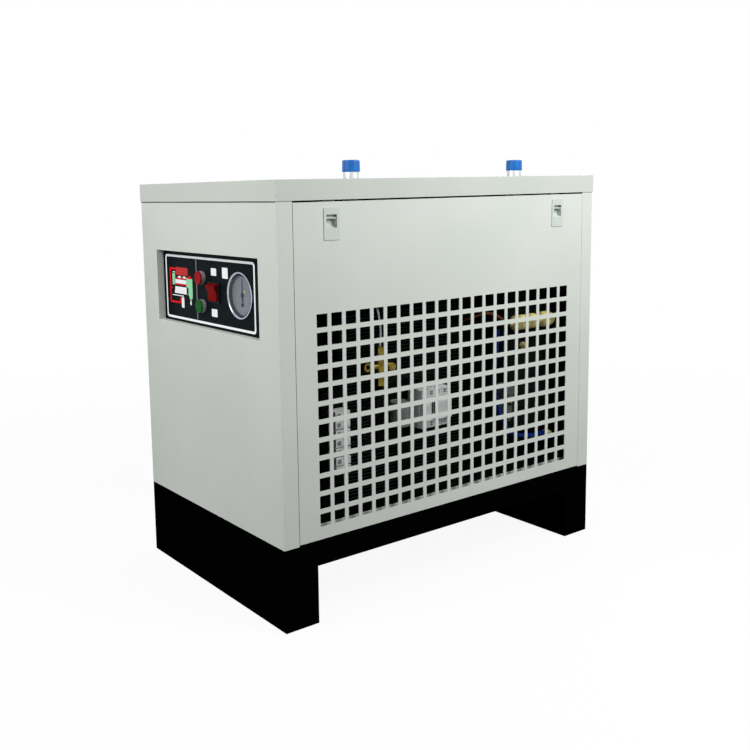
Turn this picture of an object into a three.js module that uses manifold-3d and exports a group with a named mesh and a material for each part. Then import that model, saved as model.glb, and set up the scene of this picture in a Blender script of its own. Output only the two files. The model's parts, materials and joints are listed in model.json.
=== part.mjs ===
// Refrigerated air dryer: a floor-standing sheet-metal cabinet on two full-width feet.
// Millimetres, +Z up.  The origin is on the floor, under the middle of the cabinet.
// The control panel faces -Y, the grille faces +X and the louvres face -X.

import * as THREE from 'three';
import { mergeVertices } from 'three/addons/utils/BufferGeometryUtils.js';
import Module from 'manifold-3d';

const wasm = await Module();
wasm.setup();

// ---------------------------------------------------------------- driving dimensions

const HEIGHT = 700;            // floor to the top of the lid
const LID_WIDTH = 451;         // X
const LID_DEPTH = 726;         // Y
const LID_OVERHANG = 1.2;      // lid skirt outside the cabinet walls
const LID_SKIRT = 31.8;        // height of the folded skirt
const SHEET = 1.5;             // cabinet sheet
const BASE_SHEET = 3;          // base sheet
const BASE_TOP = 134.2;        // top of the black base
const FOOT_LENGTH = 63.8;      // a foot's length along Y
const RAIL_HEIGHT = 39.5;      // base rail between the feet
const RAIL_FLANGE = 40;
const COVER_RETURN = 28.8;     // how far the end covers wrap round the corners
const JAMB = 20;               // inward lip that each side panel closes against
const GAP = 0.3;               // between pieces that touch
const TUBE_SIDES = 6;
const ROUND_SIDES = 16;        // sides of a small round part

const halfWidth = LID_WIDTH / 2 - LID_OVERHANG;
const halfDepth = LID_DEPTH / 2 - LID_OVERHANG;
const jambY = halfDepth - COVER_RETURN;
const bodyBottom = BASE_TOP + GAP;
const skirtBottom = HEIGHT - LID_SKIRT;
const bodyTop = skirtBottom - GAP;

const PANEL_SHEET = 1.2;
const PANEL_FLANGE = 12;       // folded edge of a side panel
const PANEL_SIDE_GAP = 0.6;
const panelHalf = jambY - PANEL_SIDE_GAP;
const panelBottom = bodyBottom + 2.7;
const LID_CLEARANCE = 2.6;     // open line between a side panel and the lid
const panelTop = skirtBottom - LID_CLEARANCE;

const GRILLE_COLUMNS = 21;
const GRILLE_ROWS = 12;
const GRILLE_PITCH_Y = 28.2;
const GRILLE_PITCH_Z = 28.8;
const GRILLE_HOLE = 21;
const GRILLE_BOTTOM_ROW = 167.9;

const LOUVRE_SLOT = 8;         // height of each slot
const LOUVRE_Y = [22, 262];    // a louvre's ends, either side of the panel's middle
const LOUVRE_DEPTH = 9.2;      // how far a hood is pressed in
const HOOD_SHEET = 1.2;

const LATCH_Y = 261;           // latch centres, either side of the panel's middle
const LATCH_Z = 632;
const LATCH_PLATE = [30, 50];
const LATCH_HOUSING = [25, 45];
const LATCH_DEPTH = 12;
const LATCH_WINDOW = [19.5, 20.5];
const LATCH_WINDOW_Z = 3.5;    // window centre above the latch centre
const TONGUE_WIDTH = 22;
const TONGUE_X = [-7.5, -4.5];

const RECESS_HALF = 169.5;     // control recess in the front cover
const RECESS_Z = [455.5, 582];
const RECESS_DEPTH = 14;
const PANEL_PLATE = 2;
const SWITCH_AT = [11.5, 517];
const SWITCH_BEZEL = [37, 34.5];
const SWITCH_OPENING = [29.6, 30.4];
const ROCKER_WIDTH = 28.8;
const ROCKER_RADIUS = 14.8;
const ROCKER_TILT = 12;        // degrees, at rest with the upper half out
const LAMP_X = -27;
const RED_LAMP_Z = 539.5;
const GREEN_LAMP_Z = 491;
const LAMP_RADIUS = 11.7;
const LAMP_LENGTH = 10.6;      // how far a lamp stands out of the panel
const GAUGE_AT = [93, 518];
const GAUGE_RIM = 38.2;
const GAUGE_BODY = 34.5;
const GAUGE_SIDES = 28;
const DIAL_DEPTH = 5.5;        // dial below the panel's face

const PIPE_RADIUS = 13.45;     // 3/4 inch pipe
const PIPE_BORE = 10;
const PIPE_TOP = 728;
const PIPE_HOLE = 18;          // hole in the lid round each pipe
const CAP_RADIUS = 15.2;
const CAP_Z = [712, 732];
const INLET_AT = [120, -139];
const OUTLET_AT = [120, 260];

const TRAY_HALF_X = halfWidth - PANEL_FLANGE - 0.8;
const TRAY_HALF_Y = jambY - 2;
const TRAY_SHEET = 2;
const TRAY_LIP_TOP = 157;
const trayTop = bodyBottom + TRAY_SHEET;

const COMPRESSOR_AT = [-95, -190];
const COMPRESSOR_RADIUS = 85;
const MOUNT_HEIGHT = 22;
const COMPRESSOR_TOP = 352;

const CONDENSER_X = [100, 140];
const CONDENSER_Y = -40;       // middle of the condenser, shroud and fan
const CONDENSER_HALF = 148;
const CONDENSER_TOP = 480;
const FAN_AT = [CONDENSER_Y, 311];
const FAN_RADIUS = 117;
const FAN_BLADES = 5;
const EXCHANGER_HALF = [50, 74.5];
const EXCHANGER_Z = [219, 604];
const EXCHANGER_LEG = 14;
const SEPARATOR_AT = [-40, 260];
const SEPARATOR_RADIUS = 45;
const DRAIN_AT = [186, 168];
const DRAIN_Z = [236, 318];
const DRIER_AT = [199, 164, 432];
const VALVE_AT = [170, -122, 386];
const BRACKET_X = 146;
const SERVICE_RECESS_X = [50, 200];   // recess in the rear cover
const SERVICE_RECESS_Z = [155, 215];
const SERVICE_RECESS_DEPTH = 22;
const GLAND_AT = [90, 185];
const DRAIN_OUTLET_AT = [180, 185];

// ---------------------------------------------------------------- materials

const finish = (color, roughness, metalness) =>
  new THREE.MeshStandardMaterial({ color, roughness, metalness });

const paint = () => finish(0xcdd2cb, 0.5, 0.1);
const baseBlack = () => finish(0x0a0a0b, 0.55, 0.1);
const zinc = () => finish(0xb4b7b9, 0.35, 0.9);
const steelBlack = () => finish(0x17181a, 0.45, 0.3);
const plasticGrey = () => finish(0xb9c2ba, 0.6, 0);
const plasticBlack = () => finish(0x0c0d0f, 0.5, 0);
const plasticWhite = () => finish(0xdddedb, 0.5, 0);
const overlay = () => finish(0x0e181c, 0.4, 0);
const red = () => finish(0x86190f, 0.35, 0);
const redLens = () => finish(0x8a1016, 0.25, 0);
const greenLens = () => finish(0x0d5a20, 0.25, 0);
const blueCap = () => finish(0x1a66bf, 0.45, 0);
const chrome = () => finish(0xc2c6ca, 0.15, 1);
const dialGrey = () => finish(0x9aa0a6, 0.6, 0);
const glass = () => new THREE.MeshStandardMaterial({
  color: 0xdfe6e8, roughness: 0.05, metalness: 0, transparent: true, opacity: 0.25,
});
const copper = () => finish(0xb06a3c, 0.35, 0.9);
const brass = () => finish(0xc9ad5c, 0.35, 0.9);
const rubber = () => finish(0x141414, 0.85, 0);
const fins = () => finish(0x23272a, 0.6, 0.5);
const foam = () => finish(0x2c332f, 0.9, 0);
const blueTube = () => finish(0x1a4fa8, 0.4, 0);

// ---------------------------------------------------------------- solid helpers

// A closed three.js geometry as a manifold solid with its faces pointing out.
function solid(geometry) {
  const plain = geometry.clone();
  plain.deleteAttribute('normal');
  plain.deleteAttribute('uv');
  const merged = mergeVertices(plain, 1e-4);
  const vertProperties = new Float32Array(merged.attributes.position.array);
  const corners = merged.index.array;
  const triangles = [];
  let volume = 0;
  const at = (i) => new THREE.Vector3().fromArray(vertProperties, 3 * i);
  for (let i = 0; i < corners.length; i += 3) {
    const [a, b, c] = [corners[i], corners[i + 1], corners[i + 2]];
    if (a === b || b === c || c === a) continue;
    triangles.push([a, b, c]);
    volume += at(a).dot(at(b).cross(at(c)));
  }
  const outward = volume > 0 ? triangles : triangles.map(([a, b, c]) => [a, c, b]);
  const triVerts = new Uint32Array(outward.flat());
  return new wasm.Manifold(new wasm.Mesh({ numProp: 3, vertProperties, triVerts }));
}

function toGeometry(manifold) {
  const mesh = manifold.getMesh();
  const geometry = new THREE.BufferGeometry();
  geometry.setAttribute('position', new THREE.BufferAttribute(new Float32Array(mesh.vertProperties), 3));
  geometry.setIndex(new THREE.BufferAttribute(new Uint32Array(mesh.triVerts), 1));
  geometry.computeVertexNormals();
  return geometry;
}

const join = (pieces) => pieces.reduce((whole, piece) => whole.add(piece));
const cut = (whole, pieces) => pieces.reduce((rest, piece) => rest.subtract(piece), whole);

// Box between two corners, given as ranges along X, Y and Z.
function box([x0, x1], [y0, y1], [z0, z1]) {
  const geometry = new THREE.BoxGeometry(x1 - x0, y1 - y0, z1 - z0);
  geometry.translate((x0 + x1) / 2, (y0 + y1) / 2, (z0 + z1) / 2);
  return solid(geometry);
}

const AXIS_TURN = {
  x: (geometry) => geometry.rotateZ(-Math.PI / 2),
  y: (geometry) => geometry,
  z: (geometry) => geometry.rotateX(Math.PI / 2),
};

// Round bar along an axis, between two places on it.  at = the two other coordinates, in X Y Z order.
function rod(axis, radius, [from, to], at, segments = ROUND_SIDES) {
  const geometry = new THREE.CylinderGeometry(radius, radius, to - from, segments);
  AXIS_TURN[axis](geometry);
  const middle = (from + to) / 2;
  const centre = { x: [middle, ...at], y: [at[0], middle, at[1]], z: [...at, middle] }[axis];
  geometry.translate(...centre);
  return solid(geometry);
}

const pipe = (axis, outer, inner, span, at, segments = ROUND_SIDES) =>
  rod(axis, outer, span, at, segments)
    .subtract(rod(axis, inner, [span[0] - 1, span[1] + 1], at, segments));

// Turned shape on a vertical axis.  The profile lists radius and height, from axis to axis.
function turned(profile, segments = ROUND_SIDES) {
  const geometry = new THREE.LatheGeometry(profile.map(([r, z]) => new THREE.Vector2(r, z)), segments);
  geometry.rotateX(Math.PI / 2);
  return solid(geometry);
}

// Heights and radii of a shallow dome, from the rim to the axis.
function dome(radius, rimZ, rise, steps = 3) {
  return Array.from({ length: steps + 1 }, (_, i) => {
    const angle = (i / steps) * Math.PI / 2;
    return [i === steps ? 0 : radius * Math.cos(angle), rimZ + rise * Math.sin(angle)];
  });
}

function circleShape(radius, sides) {
  const points = Array.from({ length: sides }, (_, i) => {
    const angle = (i / sides) * 2 * Math.PI;
    return new THREE.Vector2(radius * Math.cos(angle), radius * Math.sin(angle));
  });
  return new THREE.Shape(points);
}

function roundedRectangle(width, height, radius, arcSteps = 3) {
  const points = [];
  const [a, b] = [width / 2 - radius, height / 2 - radius];
  [[a, b], [-a, b], [-a, -b], [a, -b]].forEach(([x, y], corner) => {
    for (let i = 0; i <= arcSteps; i += 1) {
      const angle = (corner + i / arcSteps) * Math.PI / 2;
      points.push(new THREE.Vector2(x + radius * Math.cos(angle), y + radius * Math.sin(angle)));
    }
  });
  return new THREE.Shape(points);
}

const extrude = (shape, depth) =>
  new THREE.ExtrudeGeometry(shape, { depth, bevelEnabled: false, steps: 1 });

// A flat shape drawn in Y and Z, made solid along X.
function plateYZ(shape, [x0, x1], [y, z] = [0, 0]) {
  const geometry = extrude(shape, x1 - x0);
  geometry.applyMatrix4(new THREE.Matrix4().makeBasis(
    new THREE.Vector3(0, 1, 0), new THREE.Vector3(0, 0, 1), new THREE.Vector3(1, 0, 0),
  ));
  geometry.translate(x0, y, z);
  return solid(geometry);
}

// A flat shape drawn in X and Z, made solid along -Y from its front face.
function plateXZ(shape, [y0, y1], [x, z] = [0, 0]) {
  const geometry = extrude(shape, y1 - y0);
  geometry.rotateX(Math.PI / 2);
  geometry.translate(x, y1, z);
  return solid(geometry);
}

function tube(points, radius, steps, sides = TUBE_SIDES) {
  const extrudePath = new THREE.CatmullRomCurve3(points.map((p) => new THREE.Vector3(...p)));
  return solid(new THREE.ExtrudeGeometry(circleShape(radius, sides), { steps, extrudePath }));
}

const group = new THREE.Group();

function place(parent, name, manifold, material, position = [0, 0, 0]) {
  const mesh = new THREE.Mesh(toGeometry(manifold), material);
  mesh.name = name;
  mesh.position.set(...position);
  parent.add(mesh);
  return mesh;
}

// ---------------------------------------------------------------- base

// Folded channel, open towards the middle of the dryer, as wide as the cabinet.  Faces -Y.
function foot() {
  const front = -halfDepth;
  const back = front + FOOT_LENGTH;
  const outer = box([-halfWidth, halfWidth], [front, back], [0, BASE_TOP]);
  const inner = box(
    [-halfWidth + BASE_SHEET, halfWidth - BASE_SHEET],
    [front + BASE_SHEET, back + 1],
    [BASE_SHEET, BASE_TOP - BASE_SHEET],
  );
  return outer.subtract(inner);
}

// Channel under a side panel, open inwards.  Faces +X.
function baseRail() {
  const end = halfDepth - FOOT_LENGTH - GAP;
  const bottom = BASE_TOP - RAIL_HEIGHT;
  const outer = box([halfWidth - RAIL_FLANGE, halfWidth], [-end, end], [bottom, BASE_TOP]);
  const inner = box(
    [halfWidth - RAIL_FLANGE - 1, halfWidth - BASE_SHEET],
    [-end - 1, end + 1],
    [bottom + BASE_SHEET, BASE_TOP - BASE_SHEET],
  );
  return outer.subtract(inner);
}

// Shallow pan that carries the works, with its edges turned up.
function baseTray() {
  const outer = box([-TRAY_HALF_X, TRAY_HALF_X], [-TRAY_HALF_Y, TRAY_HALF_Y], [bodyBottom, TRAY_LIP_TOP]);
  const inner = box(
    [-TRAY_HALF_X + SHEET, TRAY_HALF_X - SHEET],
    [-TRAY_HALF_Y + SHEET, TRAY_HALF_Y - SHEET],
    [trayTop, TRAY_LIP_TOP + 1],
  );
  return outer.subtract(inner);
}

const turnedGroup = (angle) => {
  const child = new THREE.Group();
  child.rotation.z = angle;
  group.add(child);
  return child;
};
const frontSide = turnedGroup(0);
const rearSide = turnedGroup(Math.PI);
const rightSide = turnedGroup(0);
const leftSide = turnedGroup(Math.PI);

place(frontSide, 'front_foot', foot(), baseBlack());
place(rearSide, 'rear_foot', foot(), baseBlack());
place(rightSide, 'right_base_rail', baseRail(), baseBlack());
place(leftSide, 'left_base_rail', baseRail(), baseBlack());
place(group, 'base_tray', baseTray(), paint());

// ---------------------------------------------------------------- cabinet

// End cover that wraps round both corners and ends in a jamb lip.  Faces -Y.
function endCover() {
  const outer = box([-halfWidth, halfWidth], [-halfDepth, -jambY], [bodyBottom, bodyTop]);
  const inner = box(
    [-halfWidth + SHEET, halfWidth - SHEET],
    [-halfDepth + SHEET, -jambY - SHEET],
    [bodyBottom - 1, bodyTop + 1],
  );
  const mouth = box(
    [-halfWidth + JAMB, halfWidth - JAMB],
    [-jambY - SHEET - 1, -jambY + 1],
    [bodyBottom - 1, bodyTop + 1],
  );
  return cut(outer, [inner, mouth]);
}

// Adds a recess to a cover that faces -Y.  A floor closes it where one is wanted.
function withRecess(cover, [x0, x1], [z0, z1], depth, floor) {
  const face = -halfDepth;
  const back = face + depth + (floor ? SHEET : 0);
  const collar = box([x0 - SHEET, x1 + SHEET], [face, back], [z0 - SHEET, z1 + SHEET]);
  const hollow = box([x0, x1], [face - 1, floor ? face + depth : back + 1], [z0, z1]);
  return cover.add(collar).subtract(hollow);
}

function frontCover() {
  return withRecess(endCover(), [-RECESS_HALF, RECESS_HALF], RECESS_Z, RECESS_DEPTH - GAP, false);
}

function rearCover() {
  const turnedX = [-SERVICE_RECESS_X[1], -SERVICE_RECESS_X[0]];
  const cover = withRecess(endCover(), turnedX, SERVICE_RECESS_Z, SERVICE_RECESS_DEPTH, true);
  const holes = [GLAND_AT, DRAIN_OUTLET_AT].map(([x, z]) =>
    rod('y', 8.5, [-halfDepth + SERVICE_RECESS_DEPTH - 1, -halfDepth + SERVICE_RECESS_DEPTH + 4],
      [-x, z], 10));
  return cut(cover, holes);
}

function lid() {
  const outer = box(
    [-LID_WIDTH / 2, LID_WIDTH / 2], [-LID_DEPTH / 2, LID_DEPTH / 2], [skirtBottom, HEIGHT],
  );
  const inner = box(
    [-LID_WIDTH / 2 + SHEET, LID_WIDTH / 2 - SHEET],
    [-LID_DEPTH / 2 + SHEET, LID_DEPTH / 2 - SHEET],
    [skirtBottom - 1, HEIGHT - SHEET],
  );
  const holes = [INLET_AT, OUTLET_AT].map((at) => rod('z', PIPE_HOLE, [HEIGHT - 10, HEIGHT + 1], at));
  return cut(outer, [inner, ...holes]);
}

// Angle along the top of a side opening, from end cover to end cover.  Faces +X.
function topRail() {
  const end = jambY - GAP;
  const [x0, x1] = [halfWidth - JAMB - 10, halfWidth - JAMB];
  const [z0, z1] = [panelTop - 24, panelTop];
  const outer = box([x0, x1], [-end, end], [z0, z1]);
  return outer.subtract(box([x0 - 1, x1 - 2], [-end - 1, end + 1], [z0 - 1, z1 - 2]));
}

place(frontSide, 'front_cover', frontCover(), paint());
place(rearSide, 'rear_cover', rearCover(), paint());
place(group, 'lid', lid(), paint());
place(rightSide, 'right_top_rail', topRail(), paint());
place(leftSide, 'left_top_rail', topRail(), paint());

// ---------------------------------------------------------------- side panels and latches

// Flat skin with square holes: upright and level slots that cross leave the holes.
function grilleSkin() {
  const skin = box([-PANEL_SHEET, 0], [-panelHalf, panelHalf], [panelBottom, panelTop]);
  const half = GRILLE_HOLE / 2;
  const grilleTop = GRILLE_BOTTOM_ROW + GRILLE_ROWS * GRILLE_PITCH_Z;
  const through = [-PANEL_SHEET - 1, 1];
  const upright = Array.from({ length: GRILLE_COLUMNS }, (_, column) => {
    const y = (column - (GRILLE_COLUMNS - 1) / 2) * GRILLE_PITCH_Y;
    return box(through, [y - half, y + half], [GRILLE_BOTTOM_ROW - half - 1, grilleTop]);
  });
  const level = Array.from({ length: GRILLE_ROWS }, (_, row) => {
    const z = GRILLE_BOTTOM_ROW + row * GRILLE_PITCH_Z;
    return box(through, [-panelHalf + 1, panelHalf - 1], [z - half, z + half]);
  });
  return skin.subtract(join(upright).intersect(join(level)));
}

// One pressed-in louvre: a hood that slopes in and down behind its slot, with closed ends.
function louvre([y0, y1], slotBottom) {
  const slotTop = slotBottom + LOUVRE_SLOT;
  const hoodBottom = slotBottom - 4;
  const outline = (points) => new THREE.Shape(points.map(([x, z]) => new THREE.Vector2(x, z)));
  const hood = outline([
    [-PANEL_SHEET / 2, slotTop + 2], [-LOUVRE_DEPTH, hoodBottom], [-PANEL_SHEET / 2, hoodBottom],
  ]);
  const hollow = outline([
    [1, slotTop], [-PANEL_SHEET, slotTop], [-LOUVRE_DEPTH + HOOD_SHEET, hoodBottom - 1],
    [-PANEL_SHEET, hoodBottom - 1], [-PANEL_SHEET, slotBottom], [1, slotBottom],
  ]);
  return {
    hood: plateXZ(hood, [y0, y1]),
    hollow: plateXZ(hollow, [y0 + HOOD_SHEET, y1 - HOOD_SHEET]),
  };
}

// Skin of the outlet side: two columns of louvres, level with the grille's rows.
function louvreSkin() {
  const skin = box([-PANEL_SHEET, 0], [-panelHalf, panelHalf], [panelBottom, panelTop]);
  const [near, far] = LOUVRE_Y;
  const louvres = [[near, far], [-far, -near]].flatMap((span) =>
    Array.from({ length: GRILLE_ROWS }, (_, row) =>
      louvre(span, GRILLE_BOTTOM_ROW + row * GRILLE_PITCH_Z - LOUVRE_SLOT / 2)));
  return cut(join([skin, ...louvres.map(({ hood }) => hood)]), louvres.map(({ hollow }) => hollow));
}

// Lift-off side panel.  X = 0 is its outer face, and it faces +X.
function sidePanel(skin) {
  const depth = [-PANEL_FLANGE, -PANEL_SHEET / 2];
  const across = [-panelHalf, panelHalf];
  const upright = [panelBottom, panelTop];
  const flanges = [
    box(depth, [-panelHalf, -panelHalf + PANEL_SHEET], upright),
    box(depth, [panelHalf - PANEL_SHEET, panelHalf], upright),
    box(depth, across, [panelBottom, panelBottom + PANEL_SHEET]),
    box(depth, across, [panelTop - PANEL_SHEET, panelTop]),
  ];
  const [width, height] = LATCH_HOUSING;
  const latchCuts = [-LATCH_Y, LATCH_Y].flatMap((y) => [
    box([-3, 1], [y - width / 2 - 0.5, y + width / 2 + 0.5],
      [LATCH_Z - height / 2 - 0.5, LATCH_Z + height / 2 + 0.5]),
    box([TONGUE_X[0] - 0.7, TONGUE_X[1] + 0.7],
      [y - TONGUE_WIDTH / 2 - 0.7, y + TONGUE_WIDTH / 2 + 0.7], [panelTop - 3, panelTop + 1]),
  ]);
  return cut(join([skin, ...flanges]), latchCuts);
}

// Flush slide latch.  The origin is the latch's centre on the panel's outer face.
function latchBezel() {
  const [width, height] = LATCH_HOUSING;
  const wall = 1.4;
  const plate = plateYZ(roundedRectangle(...LATCH_PLATE, 1.5, 2), [GAP, LID_OVERHANG]);
  const sleeve = box([-LATCH_DEPTH, GAP + 0.4], [-width / 2, width / 2], [-height / 2, height / 2]);
  const hollow = box(
    [-LATCH_DEPTH - 1, GAP],
    [-width / 2 + wall, width / 2 - wall],
    [-height / 2 + wall, height / 2 - wall],
  );
  const window = box(
    [-1, LID_OVERHANG + 1],
    [-LATCH_WINDOW[0] / 2, LATCH_WINDOW[0] / 2],
    [LATCH_WINDOW_Z - LATCH_WINDOW[1] / 2, LATCH_WINDOW_Z + LATCH_WINDOW[1] / 2],
  );
  const slot = box(
    [TONGUE_X[0] - 0.4, TONGUE_X[1] + 0.4],
    [-TONGUE_WIDTH / 2 - 0.1, TONGUE_WIDTH / 2 + 0.1],
    [height / 2 - wall - 1, height / 2 + 1],
  );
  return cut(plate.add(sleeve), [hollow, window, slot]);
}

// Sliding finger pull with the tongue on its top.
function latchSlider() {
  const top = LATCH_WINDOW_Z + LATCH_WINDOW[1] / 2 - 4;
  const bottom = top - 21;
  const half = (LATCH_HOUSING[0] / 2) - 1.8;
  const block = box([-LATCH_DEPTH + 0.5, -0.2], [-half, half], [bottom, top]);
  const tongueTop = skirtBottom - GAP - LATCH_Z;
  const tongue = box(TONGUE_X, [-TONGUE_WIDTH / 2 + 0.4, TONGUE_WIDTH / 2 - 0.4], [top - 3, tongueTop]);
  const pocket = new THREE.Shape([
    new THREE.Vector2(0.5, top - 2),
    new THREE.Vector2(-8.5, top - 2),
    new THREE.Vector2(-6.5, bottom + 8),
    new THREE.Vector2(0.5, bottom + 3.5),
  ]);
  const wedge = extrude(pocket, 2 * half - 3.4);
  wedge.rotateX(Math.PI / 2);
  wedge.translate(0, half - 1.7, 0);
  return join([block, tongue]).subtract(solid(wedge));
}

[[rightSide, 'right', grilleSkin()], [leftSide, 'left', louvreSkin()]].forEach(([parent, side, skin]) => {
  place(parent, `${side}_side_panel`, sidePanel(skin), paint(), [halfWidth, 0, 0]);
  [[-LATCH_Y, 'a'], [LATCH_Y, 'b']].forEach(([y, letter]) => {
    place(parent, `${side}_latch_${letter}_bezel`, latchBezel(), plasticGrey(), [halfWidth, y, LATCH_Z]);
    place(parent, `${side}_latch_${letter}_slider`, latchSlider(), plasticGrey(), [halfWidth, y, LATCH_Z]);
  });
});

// ---------------------------------------------------------------- control panel

const panelFace = -halfDepth + RECESS_DEPTH;
const panelBack = panelFace + PANEL_PLATE;

function controlPanel() {
  const overlap = 6;
  const plate = box(
    [-RECESS_HALF - overlap, RECESS_HALF + overlap],
    [panelFace, panelBack],
    [RECESS_Z[0] - overlap, RECESS_Z[1] + overlap],
  );
  const through = [panelFace - 1, panelBack + 1];
  const [sx, sz] = SWITCH_AT;
  const holes = [
    rod('y', GAUGE_BODY + 0.6, through, GAUGE_AT, GAUGE_SIDES),
    rod('y', 8.4, through, [LAMP_X, RED_LAMP_Z], 12),
    rod('y', 8.4, through, [LAMP_X, GREEN_LAMP_Z], 12),
    box([sx - 16.9, sx + 16.9], through, [sz - 16.6, sz + 16.6]),
  ];
  return cut(plate, holes);
}

// Switch body with its front bezel.  The origin is the rocker's pivot, on the panel's face.
function switchHousing() {
  const [bezelWidth, bezelHeight] = SWITCH_BEZEL;
  const bezel = box([-bezelWidth / 2, bezelWidth / 2], [-2.2, -GAP], [-bezelHeight / 2, bezelHeight / 2]);
  const body = box([-16.5, 16.5], [-1, 24], [-16.2, 16.2]);
  const [openWidth, openHeight] = SWITCH_OPENING;
  const cavity = box([-openWidth / 2, openWidth / 2], [-3, 19], [-openHeight / 2, openHeight / 2]);
  const bearing = rod('x', 2, [-15.9, 15.9], [0, 0], 8);
  const terminals = [-8, 8].map((z) => box([-3.2, 3.2], [23, 33], [z - 0.4, z + 0.4]));
  return cut(join([bezel, body, ...terminals]), [cavity, bearing]);
}

// Rocker with round ends about its pivot, so that its gap to the bezel stays even.
function rocker() {
  const reach = 7.4;
  const endAngle = Math.asin(reach / ROCKER_RADIUS);
  const backAngle = 0.28;
  const outline = [];
  for (let i = 0; i <= 4; i += 1) {
    const angle = Math.PI - endAngle + (i / 4) * (endAngle + backAngle);
    outline.push([ROCKER_RADIUS * Math.cos(angle), -ROCKER_RADIUS * Math.sin(angle)]);
  }
  for (let i = 0; i <= 4; i += 1) {
    const angle = -backAngle + (i / 4) * (endAngle + backAngle);
    outline.push([ROCKER_RADIUS * Math.cos(angle), -ROCKER_RADIUS * Math.sin(angle)]);
  }
  outline.push([0, -5]);
  const shape = new THREE.Shape(outline.map(([z, y]) => new THREE.Vector2(y, z)));
  const profile = extrude(shape, ROCKER_WIDTH);
  profile.applyMatrix4(new THREE.Matrix4().makeBasis(
    new THREE.Vector3(0, 1, 0), new THREE.Vector3(0, 0, 1), new THREE.Vector3(1, 0, 0),
  ));
  profile.translate(-ROCKER_WIDTH / 2, 0, 0);
  const pins = rod('x', 1.5, [-15.6, 15.6], [0, 0], 8);
  return solid(profile).add(pins);
}

// Indicator lamp: metal body with a collar in front of the panel and a threaded stem behind.
function lampBody() {
  const collar = rod('y', LAMP_RADIUS, [-LAMP_LENGTH + 3.4, -GAP], [0, 0], 18);
  const stem = rod('y', 7.9, [-1, 30], [0, 0], 12);
  const nut = rod('y', 10.5, [PANEL_PLATE + GAP, PANEL_PLATE + 4], [0, 0], 6);
  const seat = rod('y', 6.4, [-LAMP_LENGTH, 6], [0, 0], 10);
  return join([collar, stem, nut]).subtract(seat);
}

function lampLens() {
  const face = rod('y', LAMP_RADIUS, [-LAMP_LENGTH, -LAMP_LENGTH + 3.1], [0, 0], 18);
  return face.add(rod('y', 5.9, [-LAMP_LENGTH + 2, 3], [0, 0], 10));
}

// Flush pressure gauge.  The origin is its centre on the panel's face.
const LENS_Y = -0.4;
function gaugeCase() {
  const rim = rod('y', GAUGE_RIM, [-1.8, -GAP], [0, 0], GAUGE_SIDES);
  const cup = rod('y', GAUGE_BODY, [-1, 26], [0, 0], GAUGE_SIDES);
  const stem = rod('y', 6, [25, 44], [0, 0], 8);
  const mouth = rod('y', GAUGE_BODY - 1.2, [-3, 24.5], [0, 0], GAUGE_SIDES);
  return join([rim, cup, stem]).subtract(mouth);
}
const gaugeDial = () =>
  rod('y', GAUGE_BODY - 1.6, [DIAL_DEPTH, DIAL_DEPTH + 1], [0, 0], GAUGE_SIDES)
    .subtract(rod('y', 1.6, [DIAL_DEPTH - 1, DIAL_DEPTH + 2], [0, 0], 8));
const gaugeLens = () => rod('y', GAUGE_BODY - 1.6, [LENS_Y - 1, LENS_Y], [0, 0], GAUGE_SIDES);

function gaugeNeedle() {
  const y = [DIAL_DEPTH - 1.8, DIAL_DEPTH - 1];
  const hub = rod('y', 3.2, [DIAL_DEPTH - 3.2, DIAL_DEPTH - 0.6], [0, 0], 10);
  const shaft = rod('y', 1.1, [DIAL_DEPTH - 2, DIAL_DEPTH + 6], [0, 0], 6);
  const blade = plateXZ(new THREE.Shape([
    new THREE.Vector2(-1.3, 0),
    new THREE.Vector2(1.3, 0),
    new THREE.Vector2(0.3, 27),
    new THREE.Vector2(-0.3, 27),
  ]), y);
  const tail = box([-0.8, 0.8], y, [-15, 0]);
  const weight = rod('y', 3, y, [0, -15.5], 10);
  return join([hub, shaft, blade, tail, weight]);
}

const switchOrigin = [SWITCH_AT[0], panelFace, SWITCH_AT[1]];
place(group, 'control_panel', controlPanel(), overlay());
place(group, 'switch_housing', switchHousing(), plasticBlack(), switchOrigin);
const rockerMesh = place(group, 'power_rocker', rocker(), red(), switchOrigin);
rockerMesh.rotation.x = THREE.MathUtils.degToRad(ROCKER_TILT);
[['red', RED_LAMP_Z, redLens], ['green', GREEN_LAMP_Z, greenLens]].forEach(([colour, z, lensFinish]) => {
  const at = [LAMP_X, panelFace, z];
  place(group, `${colour}_lamp_body`, lampBody(), chrome(), at);
  place(group, `${colour}_lamp_lens`, lampLens(), lensFinish(), at);
});
const gaugeOrigin = [GAUGE_AT[0], panelFace, GAUGE_AT[1]];
place(group, 'gauge_case', gaugeCase(), chrome(), gaugeOrigin);
place(group, 'gauge_dial', gaugeDial(), dialGrey(), gaugeOrigin);
place(group, 'gauge_needle', gaugeNeedle(), plasticBlack(), gaugeOrigin);
place(group, 'gauge_lens', gaugeLens(), glass(), gaugeOrigin);

// ---------------------------------------------------------------- air connections

const BOSS_RADIUS = 18;
const INLET_RUN_Z = 560;
const inletBossY = OUTLET_AT[1] - EXCHANGER_HALF[1] - 10;

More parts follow.
